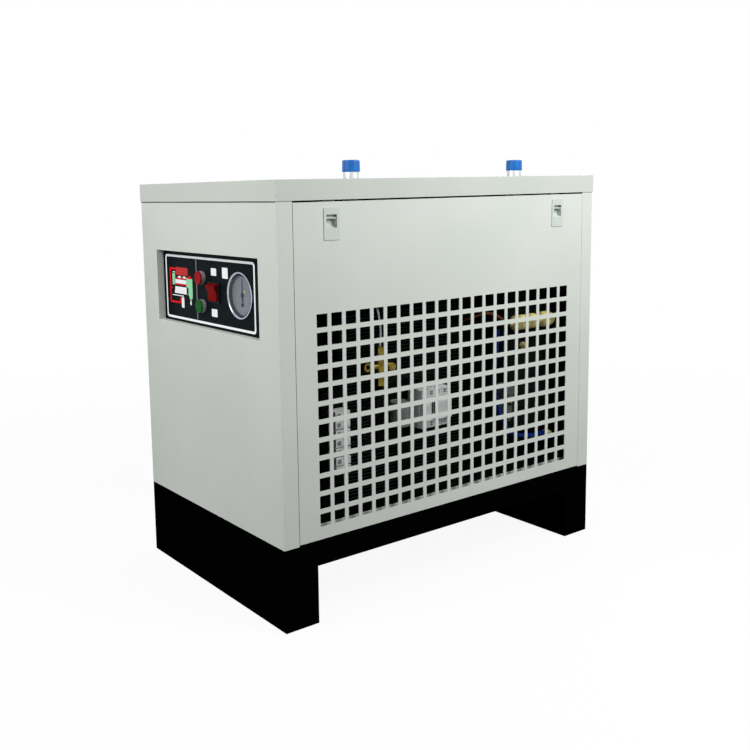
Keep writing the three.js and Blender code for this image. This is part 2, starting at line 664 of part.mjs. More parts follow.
// Inlet pipe: down from the lid to an elbow, then level to the exchanger's side.
function inletPipe() {
  const [x, y] = INLET_AT;
  const end = inletBossY - GAP;
  const elbow = new THREE.SphereGeometry(BOSS_RADIUS + 2, 14, 10);
  elbow.translate(x, y, INLET_RUN_Z);
  const outer = [
    rod('z', PIPE_RADIUS, [INLET_RUN_Z, PIPE_TOP], INLET_AT),
    rod('y', PIPE_RADIUS, [y, end], [x, INLET_RUN_Z]),
    rod('z', BOSS_RADIUS, [INLET_RUN_Z + 8, INLET_RUN_Z + 32], INLET_AT),
    rod('y', BOSS_RADIUS, [y + 8, y + 32], [x, INLET_RUN_Z]),
    rod('y', BOSS_RADIUS, [end - 6, end], [x, INLET_RUN_Z]),
    solid(elbow),
  ];
  const bores = [
    rod('z', PIPE_BORE, [INLET_RUN_Z, PIPE_TOP + 1], INLET_AT, 10),
    rod('y', PIPE_BORE, [y, end + 1], [x, INLET_RUN_Z], 10),
  ];
  return cut(join(outer), bores);
}

const outletPipe = () => join([
  pipe('z', PIPE_RADIUS, PIPE_BORE, [EXCHANGER_Z[1] + 18, PIPE_TOP], OUTLET_AT),
  pipe('z', BOSS_RADIUS, PIPE_BORE, [EXCHANGER_Z[1] + 12, EXCHANGER_Z[1] + 19], OUTLET_AT),
]);

// Push-on protective cap over a pipe end.
function pipeCap() {
  const [bottom, top] = CAP_Z;
  const height = top - bottom;
  return turned([
    [0, height], [CAP_RADIUS - 1.5, height], [CAP_RADIUS, height - 1.5], [CAP_RADIUS, 0],
    [PIPE_RADIUS + 0.5, 0], [PIPE_RADIUS + 0.5, PIPE_TOP - bottom + GAP], [0, PIPE_TOP - bottom + GAP],
  ], 20);
}

place(group, 'inlet_pipe', inletPipe(), zinc());
place(group, 'outlet_pipe', outletPipe(), zinc());
place(group, 'inlet_cap', pipeCap(), blueCap(), [...INLET_AT, CAP_Z[0]]);
place(group, 'outlet_cap', pipeCap(), blueCap(), [...OUTLET_AT, CAP_Z[0]]);

// ---------------------------------------------------------------- refrigeration works

const mountBottom = trayTop + GAP;
const mountTop = mountBottom + MOUNT_HEIGHT;
const compressorBottom = mountTop + GAP;
const MOUNT_OFFSETS = [[-75, -60], [75, -60], [75, 60], [-75, 60]];

function compressor() {
  const shell = turned([
    [0, compressorBottom], [70, compressorBottom], [COMPRESSOR_RADIUS, compressorBottom + 22],
    [COMPRESSOR_RADIUS, COMPRESSOR_TOP - 60],
    ...dome(COMPRESSOR_RADIUS - 1, COMPRESSOR_TOP - 55, 55, 4),
  ], 20);
  const cradle = box([-92, 92], [-76, 76], [compressorBottom, compressorBottom + 4]);
  const waists = [[50, 80], [-80, -50]].map((along) =>
    box([-40, 40], along, [compressorBottom - 1, compressorBottom + 3]));
  const holes = MOUNT_OFFSETS.map((at) => rod('z', 4, [compressorBottom - 1, compressorBottom + 5], at, 8));
  return cut(cradle, [...waists, ...holes]).add(shell);
}

function rubberMount() {
  return turned([
    [0, 0], [16, 0], [16, 6], [12, 9], [12, MOUNT_HEIGHT], [0, MOUNT_HEIGHT],
  ], 12);
}

const [compressorX, compressorY] = COMPRESSOR_AT;
place(group, 'compressor', compressor(), steelBlack(), [compressorX, compressorY, 0]);
place(group, 'compressor_terminal_cover', box([0, 26], [-26, 26], [-30, 30]), plasticBlack(),
  [compressorX + COMPRESSOR_RADIUS + GAP, compressorY, 255]);
MOUNT_OFFSETS.forEach(([dx, dy], index) => {
  place(group, `compressor_mount_${index + 1}`, rubberMount(), rubber(),
    [compressorX + dx, compressorY + dy, mountBottom]);
});

// Finned condenser between two side plates that stand on the tray.
function condenser() {
  const [x0, x1] = CONDENSER_X;
  const [y0, y1] = [CONDENSER_Y - CONDENSER_HALF, CONDENSER_Y + CONDENSER_HALF];
  const core = box([x0, x1], [y0, y1], [trayTop + 2, CONDENSER_TOP]);
  const plates = [[y0 - 1.5, y0 + 0.5], [y1 - 0.5, y1 + 1.5]].map((y) =>
    box([x0, x1 + 4], y, [trayTop + GAP, CONDENSER_TOP + 5]));
  return join([core, ...plates]);
}

const shroudPlateX = CONDENSER_X[0] - 30;
const RING_RADIUS = FAN_RADIUS + 5;

function fanShroud() {
  const [y0, y1] = [CONDENSER_Y - CONDENSER_HALF - 1.5, CONDENSER_Y + CONDENSER_HALF + 1.5];
  const back = CONDENSER_X[0] - GAP;
  const duct = box([shroudPlateX, back], [y0, y1], [trayTop + GAP, CONDENSER_TOP + 5]).subtract(
    box([shroudPlateX + SHEET, back + 1], [y0 + SHEET, y1 - SHEET],
      [trayTop + GAP + SHEET, CONDENSER_TOP + 5 - SHEET]));
  const ring = rod('x', RING_RADIUS + 2, [shroudPlateX - 20, shroudPlateX + 1], FAN_AT, 28);
  const throat = rod('x', RING_RADIUS, [shroudPlateX - 21, shroudPlateX + 5], FAN_AT, 28);
  return duct.add(ring).subtract(throat);
}

const fanX = shroudPlateX - 4;
const motorFront = fanX - 20;
const MOTOR_RADIUS = 42;
const SHAFT_RADIUS = 4;

const [fanY, fanZ] = FAN_AT;

// Motor with four arms that reach the shroud's ring.
function fanMotor() {
  const can = rod('x', MOTOR_RADIUS, [motorFront - 62, motorFront], FAN_AT, 20);
  const shaft = rod('x', SHAFT_RADIUS, [motorFront - 1, fanX + 9], FAN_AT, 8);
  const armX = [motorFront - 20, motorFront - 14];
  const armEnd = RING_RADIUS + 12;
  const footX = [motorFront - 20, shroudPlateX - GAP];
  const arms = [0, 1, 2, 3].flatMap((quarter) => {
    const along = quarter % 2 === 0 ? 1 : -1;
    const side = quarter < 2 ? 1 : -1;
    const direction = [side * along * Math.SQRT1_2, side * Math.SQRT1_2];
    const arm = new THREE.BoxGeometry(armX[1] - armX[0], armEnd - 30, 10);
    arm.translate((armX[0] + armX[1]) / 2, (armEnd + 30) / 2, 0);
    arm.rotateX(Math.atan2(direction[1], direction[0]));
    arm.translate(0, fanY, fanZ);
    const reach = direction.map((part) => part * (armEnd - 5));
    const foot = rod('x', 5, footX, [fanY + reach[0], fanZ + reach[1]], 6);
    return [solid(arm), foot];
  });
  return join([can, shaft, ...arms]);
}

function fanImpeller() {
  const hub = rod('x', 30, [fanX - 12, fanX + 12], FAN_AT);
  const limit = rod('x', FAN_RADIUS, [fanX - 40, fanX + 40], FAN_AT, 24);
  const blades = Array.from({ length: FAN_BLADES }, (_, i) => {
    const blade = new THREE.BoxGeometry(2, FAN_RADIUS, 70);
    blade.rotateY(THREE.MathUtils.degToRad(62));
    blade.translate(0, FAN_RADIUS / 2 + 20, 0);
    blade.rotateX((i / FAN_BLADES) * 2 * Math.PI);
    blade.translate(fanX, fanY, fanZ);
    const slab = box(
      [fanX - 17, fanX + 17],
      [fanY - FAN_RADIUS, fanY + FAN_RADIUS],
      [fanZ - FAN_RADIUS, fanZ + FAN_RADIUS],
    );
    return solid(blade).intersect(limit).intersect(slab);
  });
  const bore = rod('x', SHAFT_RADIUS + 0.6, [fanX - 30, fanX + 30], FAN_AT, 8);
  return join([hub, ...blades]).subtract(bore);
}

// Plate heat exchanger in a square foam jacket, on four legs, with a boss for each air pipe.
function heatExchanger() {
  const [halfX, halfY] = EXCHANGER_HALF;
  const [bottom, top] = EXCHANGER_Z;
  const jacket = extrude(roundedRectangle(2 * halfX, 2 * halfY, 9, 3), top - bottom);
  jacket.translate(0, 0, bottom);
  const legs = [[-1, -1], [1, -1], [1, 1], [-1, 1]].map(([sx, sy]) => {
    const [x, y] = [sx * (halfX - 14), sy * (halfY - 14)];
    return box(
      [x - EXCHANGER_LEG / 2, x + EXCHANGER_LEG / 2],
      [y - EXCHANGER_LEG / 2, y + EXCHANGER_LEG / 2],
      [trayTop + GAP, bottom + 1],
    );
  });
  const outlet = rod('z', BOSS_RADIUS, [top - 2, top + 12 - GAP], [0, 0]);
  const inlet = rod('y', BOSS_RADIUS, [-halfY - 10, -halfY + 2], [0, INLET_RUN_Z]);
  return join([solid(jacket), ...legs, outlet, inlet]);
}

function separator() {
  const r = SEPARATOR_RADIUS;
  const bottom = trayTop + GAP;
  const shell = turned([
    [0, bottom], [r - 4, bottom], [r, bottom + 8], [r, 450], ...dome(r - 0.5, 452, 20),
  ]);
  const bridgeEnd = OUTLET_AT[0] - SEPARATOR_AT[0] - EXCHANGER_HALF[0] - GAP;
  const bridge = rod('x', 14, [r - 8, bridgeEnd], [0, 400], 12);
  return shell.add(bridge);
}

// Automatic drain: a square head with its coil above, a round bowl below and an outlet nozzle.
function autoDrain() {
  const [bottom, top] = DRAIN_Z;
  const coil = box([-14, 14], [-13, 13], [top - 20, top]);
  const head = box([-11, 11], [-11, 11], [top - 32, top - 19]);
  const bowl = turned([
    [0, bottom], [4, bottom], [4, bottom + 8], [9, bottom + 10], [13, bottom + 18],
    [13, top - 31], [0, top - 31],
  ], 16);
  return join([coil, head, bowl]);
}

// Filter drier lying along Y: a barrel, a narrow neck and a round end fitting.
function filterDrier() {
  const shape = turned([
    [0, 0], [3.6, 0], [3.6, 5], [6, 6], [14, 14], [14, 66], [12, 71], [7, 73], [7, 82],
    [14, 88], [15, 97], [13, 109], [8, 116], [0, 118],
  ], 14);
  const geometry = toGeometry(shape);
  geometry.rotateX(-Math.PI / 2);
  return solid(geometry);
}

// Hot-gas bypass valve: a slim body between two nuts, with a flare ring and a round port.
function bypassValve() {
  const body = rod('z', 7, [-30, 34], [0, 0], 12);
  const nuts = [[-34, -18], [20, 34]].map((z) => rod('z', 9, z, [0, 0], 12));
  const arm = rod('y', 5, [-26, 24], [0, 0], 10);
  const ring = rod('x', 8.6, [-6, 6], [-31, 2]);
  const port = rod('x', 8, [-6, 6], [24, -4]);
  return join([body, ...nuts, arm, ring, port]).subtract(rod('x', 3.8, [-7, 7], [-31, 2], 10));
}

place(group, 'condenser_coil', condenser(), fins());
place(group, 'fan_shroud', fanShroud(), steelBlack());
place(group, 'fan_motor', fanMotor(), steelBlack());
place(group, 'fan_impeller', fanImpeller(), plasticBlack());
place(group, 'heat_exchanger', heatExchanger(), foam(), [...OUTLET_AT, 0]);
place(group, 'separator', separator(), foam(), [...SEPARATOR_AT, 0]);
place(group, 'auto_drain', autoDrain(), plasticGrey(), [...DRAIN_AT, 0]);
place(group, 'filter_drier', filterDrier(), brass(), DRIER_AT);
place(group, 'bypass_valve', bypassValve(), brass(), VALVE_AT);

// ---------------------------------------------------------------- electrical works

const bracketFace = BRACKET_X + SHEET;
const CONTACTOR_Y = [-41, 25];
const CONTACTOR_Z = [264, 334];
const CAPACITOR_RADIUS = 17;
const CAPACITOR_AT = [bracketFace + GAP + CAPACITOR_RADIUS, -74];
const CAPACITOR_Z = [273, 318];
const TERMINAL_Y = [-218, -187];
const TERMINAL_Z = [212, 321];

// Folded bracket that stands on the tray and carries the electrical parts.
function electricalBracket() {
  const x = [BRACKET_X, bracketFace];
  const foot = trayTop + GAP;
  return join([
    box(x, [-110, 40], [245, 360]),
    box(x, [-230, -187], [foot, 350]),
    box(x, [-60, -20], [foot, 250]),
    box(x, [-230, 40], [foot, foot + 20]),
    box([BRACKET_X, bracketFace + 24], [-230, 40], [foot, foot + SHEET]),
  ]);
}

function contactor() {
  const x = bracketFace + GAP;
  return join([
    box([x, x + 36], CONTACTOR_Y, CONTACTOR_Z),
    box([x + 35, x + 46],
      [CONTACTOR_Y[0] + 2, CONTACTOR_Y[1] - 2],
      [CONTACTOR_Z[0] + 15, CONTACTOR_Z[1] - 15]),
  ]);
}

function terminalBlock() {
  const x = bracketFace + GAP;
  const strip = box([x, x + 22], TERMINAL_Y, TERMINAL_Z);
  const count = 7;
  const pitch = (TERMINAL_Z[1] - TERMINAL_Z[0]) / count;
  const grooves = Array.from({ length: count - 1 }, (_, i) => {
    const z = TERMINAL_Z[0] + (i + 1) * pitch;
    return box([x + 14, x + 23], [TERMINAL_Y[0] - 1, TERMINAL_Y[1] + 1], [z - 1, z + 1]);
  });
  return cut(strip, grooves);
}

place(group, 'electrical_bracket', electricalBracket(), steelBlack());
place(group, 'contactor', contactor(), plasticWhite());
place(group, 'run_capacitor', rod('z', CAPACITOR_RADIUS, CAPACITOR_Z, [0, 0]), plasticGrey(),
  [...CAPACITOR_AT, 0]);
place(group, 'terminal_block', terminalBlock(), plasticWhite());

// ---------------------------------------------------------------- tubes and outlets

const COPPER_RADIUS = 4.5;
const hoseCorner = [200, 193, 217];
const bulkheadY = halfDepth - SERVICE_RECESS_DEPTH - SHEET;

place(group, 'discharge_tube', tube([
  [compressorX, compressorY, COMPRESSOR_TOP + 1], [compressorX, compressorY, 400],
  [-60, -175, 500], [30, -140, 545], [100, -95, 545], [120, -80, 518], [120, -80, CONDENSER_TOP + 0.8],
], COPPER_RADIUS, 18), copper());
place(group, 'suction_tube', tube([
  [112, 212, EXCHANGER_Z[0] - 2 * GAP], [112, 212, 206], [110, 196, 180], [84, 166, 170],
  [24, 132, 168], [-70, 30, 176],
  [compressorX, -60, 200], [compressorX, compressorY + COMPRESSOR_RADIUS + 0.8, 200],
], COPPER_RADIUS + 1.5, 15), copper());
place(group, 'liquid_tube', tube([
  [CONDENSER_X[1] + 2 * GAP, 92, 440], [150, 92, 440.5], [166, 99, 447], [184, 124, 454], [197, 147, 442],
  [DRIER_AT[0], 158, DRIER_AT[2]], [DRIER_AT[0], DRIER_AT[1] - GAP, DRIER_AT[2]],
], 3.2, 12), copper());

// Condensate hose: a vent riser, a branch to the drain's nozzle, and the run to the rear.
const hose = tube([
  [198, 133, 424], [198, 130, 385], [197, 124, 340], [197, 128, 308], [198, 134, 284],
  [199, 146, 255], [200, 168, 227], hoseCorner, [199, 229, 211], [194, 262, 209], [186, 292, 202],
  [DRAIN_OUTLET_AT[0], 314, DRAIN_OUTLET_AT[1]], [DRAIN_OUTLET_AT[0], 325.6, DRAIN_OUTLET_AT[1]],
], 4, 30);
const branch = tube([
  [...DRAIN_AT, DRAIN_Z[0] - 2 * GAP], [...DRAIN_AT, 229], [191, 180, 219], hoseCorner,
], 3.4, 6);
place(group, 'drain_tube', hose.add(branch), blueTube());

// Cable gland in the rear recess: hexagon body, dome nut and the stem through the sheet.
function cableGland() {
  const floor = bulkheadY + SHEET;
  const solidGland = join([
    rod('y', 8, [bulkheadY - 8, floor + 2], [0, 0], 10),
    rod('y', 12, [floor + GAP, floor + 7], [0, 0], 6),
    rod('y', 10, [floor + 6, floor + 17], [0, 0], 12),
    rod('y', 11.5, [bulkheadY - 6, bulkheadY - GAP], [0, 0], 6),
  ]);
  return solidGland.subtract(rod('y', 4.5, [bulkheadY - 10, floor + 20], [0, 0], 8));
}

function drainOutlet() {
  const floor = bulkheadY + SHEET;
  const fitting = join([
    rod('y', 8, [bulkheadY - 12, floor + 2], [0, 0], 10),
    rod('y', 11.5, [floor + GAP, floor + 6], [0, 0], 6),
    rod('y', 6.5, [floor + 5, floor + 18], [0, 0], 10),
    rod('y', 11.5, [bulkheadY - 5, bulkheadY - GAP], [0, 0], 6),
  ]);
  return fitting.subtract(rod('y', 4, [bulkheadY - 14, floor + 20], [0, 0], 8));
}

place(group, 'cable_gland', cableGland(), plasticBlack(), [GLAND_AT[0], 0, GLAND_AT[1]]);
place(group, 'drain_outlet', drainOutlet(), brass(), [DRAIN_OUTLET_AT[0], 0, DRAIN_OUTLET_AT[1]]);

export default group;
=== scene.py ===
import json
from math import cos, pi, radians, sin

import bmesh
import bpy
from mathutils import Matrix, Vector


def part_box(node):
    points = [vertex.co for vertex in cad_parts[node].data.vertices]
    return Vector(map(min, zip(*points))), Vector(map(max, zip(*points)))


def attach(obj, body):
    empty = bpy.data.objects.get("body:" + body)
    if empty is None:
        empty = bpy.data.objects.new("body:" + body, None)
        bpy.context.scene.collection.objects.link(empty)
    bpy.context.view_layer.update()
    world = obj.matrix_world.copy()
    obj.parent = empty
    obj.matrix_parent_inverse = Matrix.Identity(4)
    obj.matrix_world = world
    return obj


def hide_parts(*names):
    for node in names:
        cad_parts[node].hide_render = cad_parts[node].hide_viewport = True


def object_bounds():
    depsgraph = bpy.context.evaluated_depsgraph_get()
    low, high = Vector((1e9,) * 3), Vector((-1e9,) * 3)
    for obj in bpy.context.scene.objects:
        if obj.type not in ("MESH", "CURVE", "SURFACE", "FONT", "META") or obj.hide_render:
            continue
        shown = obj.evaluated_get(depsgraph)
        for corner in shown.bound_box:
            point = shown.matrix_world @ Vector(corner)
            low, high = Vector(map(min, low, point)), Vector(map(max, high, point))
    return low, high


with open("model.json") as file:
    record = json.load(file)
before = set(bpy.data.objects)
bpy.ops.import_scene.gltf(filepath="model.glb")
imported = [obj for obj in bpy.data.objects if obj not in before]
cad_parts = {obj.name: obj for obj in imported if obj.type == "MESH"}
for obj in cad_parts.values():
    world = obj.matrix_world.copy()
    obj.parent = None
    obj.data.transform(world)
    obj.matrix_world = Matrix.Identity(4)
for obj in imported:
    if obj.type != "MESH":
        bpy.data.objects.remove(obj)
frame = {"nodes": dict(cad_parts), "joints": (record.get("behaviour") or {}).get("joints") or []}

MM = 0.001
X, Y, Z = Vector((1, 0, 0)), Vector((0, 1, 0)), Vector((0, 0, 1))
FRONT, BACK = -Y, Y
cad_low, cad_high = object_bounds()


# ---- places taken from the frame, in mm

def span(node):
    """Lowest and highest corner of a CAD node."""
    low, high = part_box(node)
    return Vector(low) / MM, Vector(high) / MM


def middle(node):
    low, high = span(node)
    return (low + high) / 2


def place(node):
    """Lowest corner, highest corner and centre of a CAD node."""
    return (*span(node), middle(node))


SHELL_SIDE = cad_high[0] / MM - 2.35    # just behind a side panel's skin
SHELL_END = cad_high[1] / MM - 2.6      # just behind the front and rear covers' sheets
SHELL_TOP = span("lid")[1].z - 1.4      # just under the lid's sheet


# ---- materials

def tint(code):
    """Scene-linear colour of a display colour, written as six hex digits."""
    levels = [int(code[i:i + 2], 16) / 255 for i in (0, 2, 4)]
    return tuple(c / 12.92 if c <= 0.04045 else ((c + 0.055) / 1.055) ** 2.4 for c in levels) + (1.0,)


class Finish:
    """A procedural material: one Principled shader and short calls for the nodes that feed it."""

    def __init__(self, name, roughness=0.5, metallic=0.0, specular=0.5, **fixed):
        self.material = bpy.data.materials.new(name)
        self.material.use_nodes = True
        self.tree = self.material.node_tree
        self.shader = self.tree.nodes["Principled BSDF"]
        self.shader.inputs["Metallic"].default_value = metallic
        self.shader.inputs["Specular IOR Level"].default_value = specular
        for socket, value in fixed.items():
            self.shader.inputs[socket.replace("_", " ")].default_value = value
        self.place = self.tree.nodes.new("ShaderNodeTexCoord").outputs["Object"]
        self.roughness = roughness

    def add(self, kind, **settings):
        node = self.tree.nodes.new(kind)
        for key, value in settings.items():
            setattr(node, key, value)
        return node

    def feed(self, socket, value):
        """Links a socket, or sets a plain value or a hex colour on it."""
        if isinstance(value, bpy.types.NodeSocket):
            self.tree.links.new(value, socket)
        else:
            socket.default_value = tint(value) if isinstance(value, str) else value

    def grain(self, scale, detail=3.0, stretch=(1, 1, 1), distortion=0.0):
        """Noise from 0 to 1, with scale in cells per metre."""
        mapping = self.add("ShaderNodeMapping")
        self.feed(mapping.inputs["Vector"], self.place)
        mapping.inputs["Scale"].default_value = stretch
        texture = self.add("ShaderNodeTexNoise")
        self.feed(texture.inputs["Vector"], mapping.outputs["Vector"])
        for name, number in (("Scale", scale), ("Detail", detail), ("Distortion", distortion)):
            texture.inputs[name].default_value = number
        return texture.outputs["Fac"]

    def cells(self, scale):
        """Distance to the middle of the nearest cell, with scale in cells per metre."""
        texture = self.add("ShaderNodeTexVoronoi", feature="F1")
        self.feed(texture.inputs["Vector"], self.place)
        texture.inputs["Scale"].default_value = scale
        return texture.outputs["Distance"]

    def remap(self, value, low, high, to_low=0.0, to_high=1.0):
        node = self.add("ShaderNodeMapRange")
        self.feed(node.inputs["Value"], value)
        for name, number in (("From Min", low), ("From Max", high), ("To Min", to_low), ("To Max", to_high)):
            node.inputs[name].default_value = number
        return node.outputs["Result"]

    def mix(self, factor, first, second):
        node = self.add("ShaderNodeMix", data_type="RGBA")
        for index, value in ((0, factor), (6, first), (7, second)):
            self.feed(node.inputs[index], value)
        return node.outputs[2]

    def times(self, first, second):
        node = self.add("ShaderNodeMath", operation="MULTIPLY")
        self.feed(node.inputs[0], first)
        self.feed(node.inputs[1], second)
        return node.outputs[0]

    def edges(self, radius):
        """1 on worn edges and 0 on flat faces, broken up by noise."""
        rounded = self.add("ShaderNodeBevel", samples=4)
        rounded.inputs["Radius"].default_value = radius
        plain = self.add("ShaderNodeNewGeometry")
        dot = self.add("ShaderNodeVectorMath", operation="DOT_PRODUCT")
        self.feed(dot.inputs[0], rounded.outputs["Normal"])
        self.feed(dot.inputs[1], plain.outputs["Normal"])
        turned = self.remap(dot.outputs["Value"], 0.995, 0.86)
        return self.times(turned, self.remap(self.grain(160, 4.0), 0.42, 0.66))

    def bump(self, height, depth_mm, under=None):
        node = self.add("ShaderNodeBump")
        node.inputs["Strength"].default_value = 1.0
        node.inputs["Distance"].default_value = depth_mm * MM
        self.feed(node.inputs["Height"], height)
        if under is not None:
            self.feed(node.inputs["Normal"], under)
        return node.outputs["Normal"]

    def done(self, colour, normal=None, spread=0.06, rough_scale=35):
        self.feed(self.shader.inputs["Base Color"], colour)
        patches = self.grain(rough_scale, 4.0)
        rough = self.remap(patches, 0.3, 0.7, self.roughness - spread, self.roughness + spread)
        self.feed(self.shader.inputs["Roughness"], rough)
        if normal is not None:
            self.feed(self.shader.inputs["Normal"], normal)
        return self.material


WEAR_RADIUS = 0.0012    # metres of thinner paint along an edge


def powder_coat(name, colour, shade, wear, peel_mm, roughness, **fixed):
    """Painted sheet: orange peel, faint cloudiness, a few dust specks and thinner paint on the edges."""
    f = Finish(name, roughness, **fixed)
    base = f.mix(f.remap(f.grain(4.5), 0.35, 0.68), colour, shade)
    specks = f.remap(f.cells(95), 0.05, 0.0)
    base = f.mix(f.remap(specks, 0.0, 1.0, 0.0, 0.35), base, shade)
    base = f.mix(f.edges(WEAR_RADIUS), base, wear)
    fine = f.bump(f.grain(620, 2.0), peel_mm)
    return f.done(base, f.bump(f.grain(130, 2.0), peel_mm * 1.6, fine))


def moulded(name, colour, shade, roughness=0.45, texture_mm=0.03, scale=900, **fixed):
    """Moulded plastic with a fine spark-eroded texture and soft colour drift."""
    f = Finish(name, roughness, **fixed)
    base = f.mix(f.remap(f.grain(28), 0.3, 0.72), colour, shade)
    return f.done(base, f.bump(f.grain(scale), texture_mm), 0.07, 90)


def metal(name, colour, shade, roughness=0.3, stretch=(1, 1, 1), scale=240, depth_mm=0.02, tarnish=None,
          **fixed):
    """Bare metal with drawn or turned grain, and tarnish in patches."""
    f = Finish(name, roughness, 1.0, **fixed)
    lines = f.grain(scale, 5.0, stretch)
    base = f.mix(f.remap(lines, 0.3, 0.7), colour, shade)
    if tarnish:
        base = f.mix(f.remap(f.grain(42, 5.0, distortion=0.6), 0.52, 0.72, 0.0, 0.8), base, tarnish)
    return f.done(base, f.bump(lines, depth_mm), 0.09, 60)


def closed_cell_foam(name, colour, shade):
    """Insulation with a fine cellular skin over soft dents."""
    f = Finish(name, 0.86, specular=0.03)
    skin = f.cells(520)
    base = f.mix(f.remap(f.grain(36, 4.0), 0.3, 0.7), colour, shade)
    return f.done(base, f.bump(skin, 0.12, f.bump(f.grain(60), 0.4)))


def printed(name, colour, shade):
    """Screen print: nearly flat ink with pinholes and a slight edge grain."""
    f = Finish(name, 0.5, specular=0.08)
    base = f.mix(f.remap(f.grain(420, 4.0), 0.35, 0.75), colour, shade)
    return f.done(base, f.bump(f.grain(1500, 2.0), 0.008), 0.05, 200)


def indicator_lens(name, colour, shade):
    """Tinted lens with fine moulded rings."""
    f = Finish(name, 0.3, specular=0.04, Coat_Weight=0.02, Coat_Roughness=0.12)
    base = f.mix(f.remap(f.grain(260), 0.3, 0.7), colour, shade)
    return f.done(base, f.bump(f.cells(1100), 0.05), 0.06, 140)


def clear_cover(name):
    """Nearly clear plastic with a faint haze."""
    f = Finish(name, 0.06, specular=0.35, Alpha=0.04)
    base = f.mix(f.grain(60, 2.0), "e1e8ee", "cdd6de")
    return f.done(base, f.bump(f.grain(90, 2.0), 0.01), 0.03, 80)


# The record's slot and the material of each finish.
FINISH = {
    "paint": ("cabinet_paint", powder_coat("cabinet_powder_coat", "cfd4cd", "c9cfc7", "dee2dc", 0.025, 0.42,
                                           specular=0.3)),
    # lid: a darker copy of the cabinet's powder coat, a painted shade on the lid
    "lid": ("cabinet_paint", powder_coat("lid_powder_coat_shaded_copy", "c3c8c1", "bdc3bb", "d4d8d2", 0.025, 0.42,
                                         specular=0.3)),
    "base": ("base_paint", powder_coat("base_powder_coat", "020203", "040405", "0d0d0e", 0.03, 0.6,
                                       specular=0.0)),
    "bracket": ("bracket_black", powder_coat("bracket_enamel", "0a0a0b", "070708", "181819", 0.03, 0.5,
                                             specular=0.02)),
    # inside: near-black on the faces inside the cabinet, a painted shade
    "inside": ("cabinet_paint", powder_coat("inside_painted_shade", "0c0d0d", "080909", "1a1b1b", 0.03, 0.7,
                                            specular=0.08)),
    "enamel": ("compressor_black", powder_coat("compressor_enamel", "0d0e0f", "09090a", "242426", 0.05, 0.4,
                                               specular=0.1)),
    "overlay": ("overlay", moulded("panel_overlay_film", "0a1316", "070f12", 0.42, 0.012, 1300, specular=0.02)),
    "latch": ("latch_plastic", moulded("latch_nylon", "c4ccc6", "bdc6bf", 0.46)),
    "black": ("black_plastic", moulded("black_moulding", "101112", "0a0a0b", 0.48, 0.04, specular=0.12)),
    "rocker": ("rocker_red", moulded("rocker_red", "820705", "680504", 0.4, 0.012, 1200, specular=0.02)),
    "white": ("white_plastic", moulded("white_moulding", "f8faf8", "eaedeb")),
    "grey": ("drain_plastic", moulded("grey_moulding", "8a928e", "7a827f", 0.5)),
    "drain": ("drain_plastic", moulded("drain_moulding", "626a67", "545c59", 0.5, specular=0.15)),
    "cap": ("cap_blue", moulded("cap_polyethylene", "0365b2", "0255a2", 0.38, 0.06, 420, specular=0.35,
                                Subsurface_Weight=0.08, Subsurface_Scale=0.002)),
    "rubber": ("rubber", moulded("mount_rubber", "111111", "181817", 0.8, 0.08, 500, specular=0.06)),
    "needle": ("needle", moulded("needle_black", "08080a", "0e0e10", 0.5, 0.01, specular=0.05)),
    "dial": ("dial", moulded("dial_face", "7c848c", "707880", 0.5, 0.01, 1500, specular=0.1)),
    "hose": ("blue_tube", moulded("hose_blue", "08308c", "052474", 0.36, 0.015, 700, specular=0.1)),
    "chrome": ("chrome", metal("chrome_plate", "bcc2d0", "a0a8ba", 0.14, scale=300, depth_mm=0.006,
                               Metallic=0.85)),
    "collar": ("chrome", metal("lamp_collar_metal", "dedfe0", "96979a", 0.3, (1, 0.06, 1), 900, Metallic=0.45)),
    "zinc": ("zinc", metal("zinc_plate", "ecefee", "d0d4d5", 0.36, (1, 1, 0.2), 300, 0.02, "babeb8")),
    "steel": ("zinc", metal("screw_steel", "c4c6ca", "a0a3a8", scale=420)),
    "pale_brass": ("brass", moulded("pale_brass_lacquer", "f8ea96", "e8d47c", 0.4, 0.03, 300)),
    "brass": ("brass", metal("brass_turned", "9c8a3e", "7e6c2e", 0.32, (1, 1, 5), 260, 0.02, "544620")),
    # copper: darker than bare copper, a painted shade for the tubes inside the cabinet; the tarnish patches are the
    # copper's own
    "copper": ("copper", metal("copper_tube_painted_shade", "684230", "4c2e20", 0.34, (5, 5, 1), 220, 0.015, "2c1c14")),
    "fins": ("fins", metal("fin_coating", "202325", "141618", 0.5, (1, 1, 12), 160)),
    # rungs: dark grey, darkened as a painted shade for the guard wires deep inside the cabinet
    "rungs": ("fins", metal("coil_guard_wire_painted_shade", "363c3e", "282d2f", 0.45, (1, 8, 1), 200)),
    "foam": ("foam", closed_cell_foam("jacket_foam", "171c1a", "101312")),
    "glass": ("glass", clear_cover("gauge_glass")),
    "red_lens": ("red_lens", indicator_lens("lens_red", "9a0814", "86040e")),
    "green_lens": ("green_lens", indicator_lens("lens_green", "06601a", "045014")),
    "ink_white": ("overlay", printed("ink_white", "fcfefe", "f0f3f4")),
    "ink_grey": ("overlay", printed("ink_grey", "808488", "707478")),
    "ink_red": ("overlay", printed("ink_red", "f00c16", "de060e")),
    "ink_salmon": ("overlay", printed("ink_salmon", "f64c4c", "e83638")),
    "ink_mint": ("overlay", printed("ink_mint", "9ee2b0", "8cd2a0")),
    "ink_black": ("dial", printed("ink_black", "0a0b0e", "121316")),
    "ink_yellow": ("dial", printed("ink_yellow", "becc14", "acba0c")),
}


# ---- mesh code, in mm

def facing(direction, at):
    """Matrix that takes +Z to a direction and the origin to a point."""
    return Matrix.Translation(Vector(at)) @ Vector(direction).to_track_quat("Z", "Y").to_matrix().to_4x4()


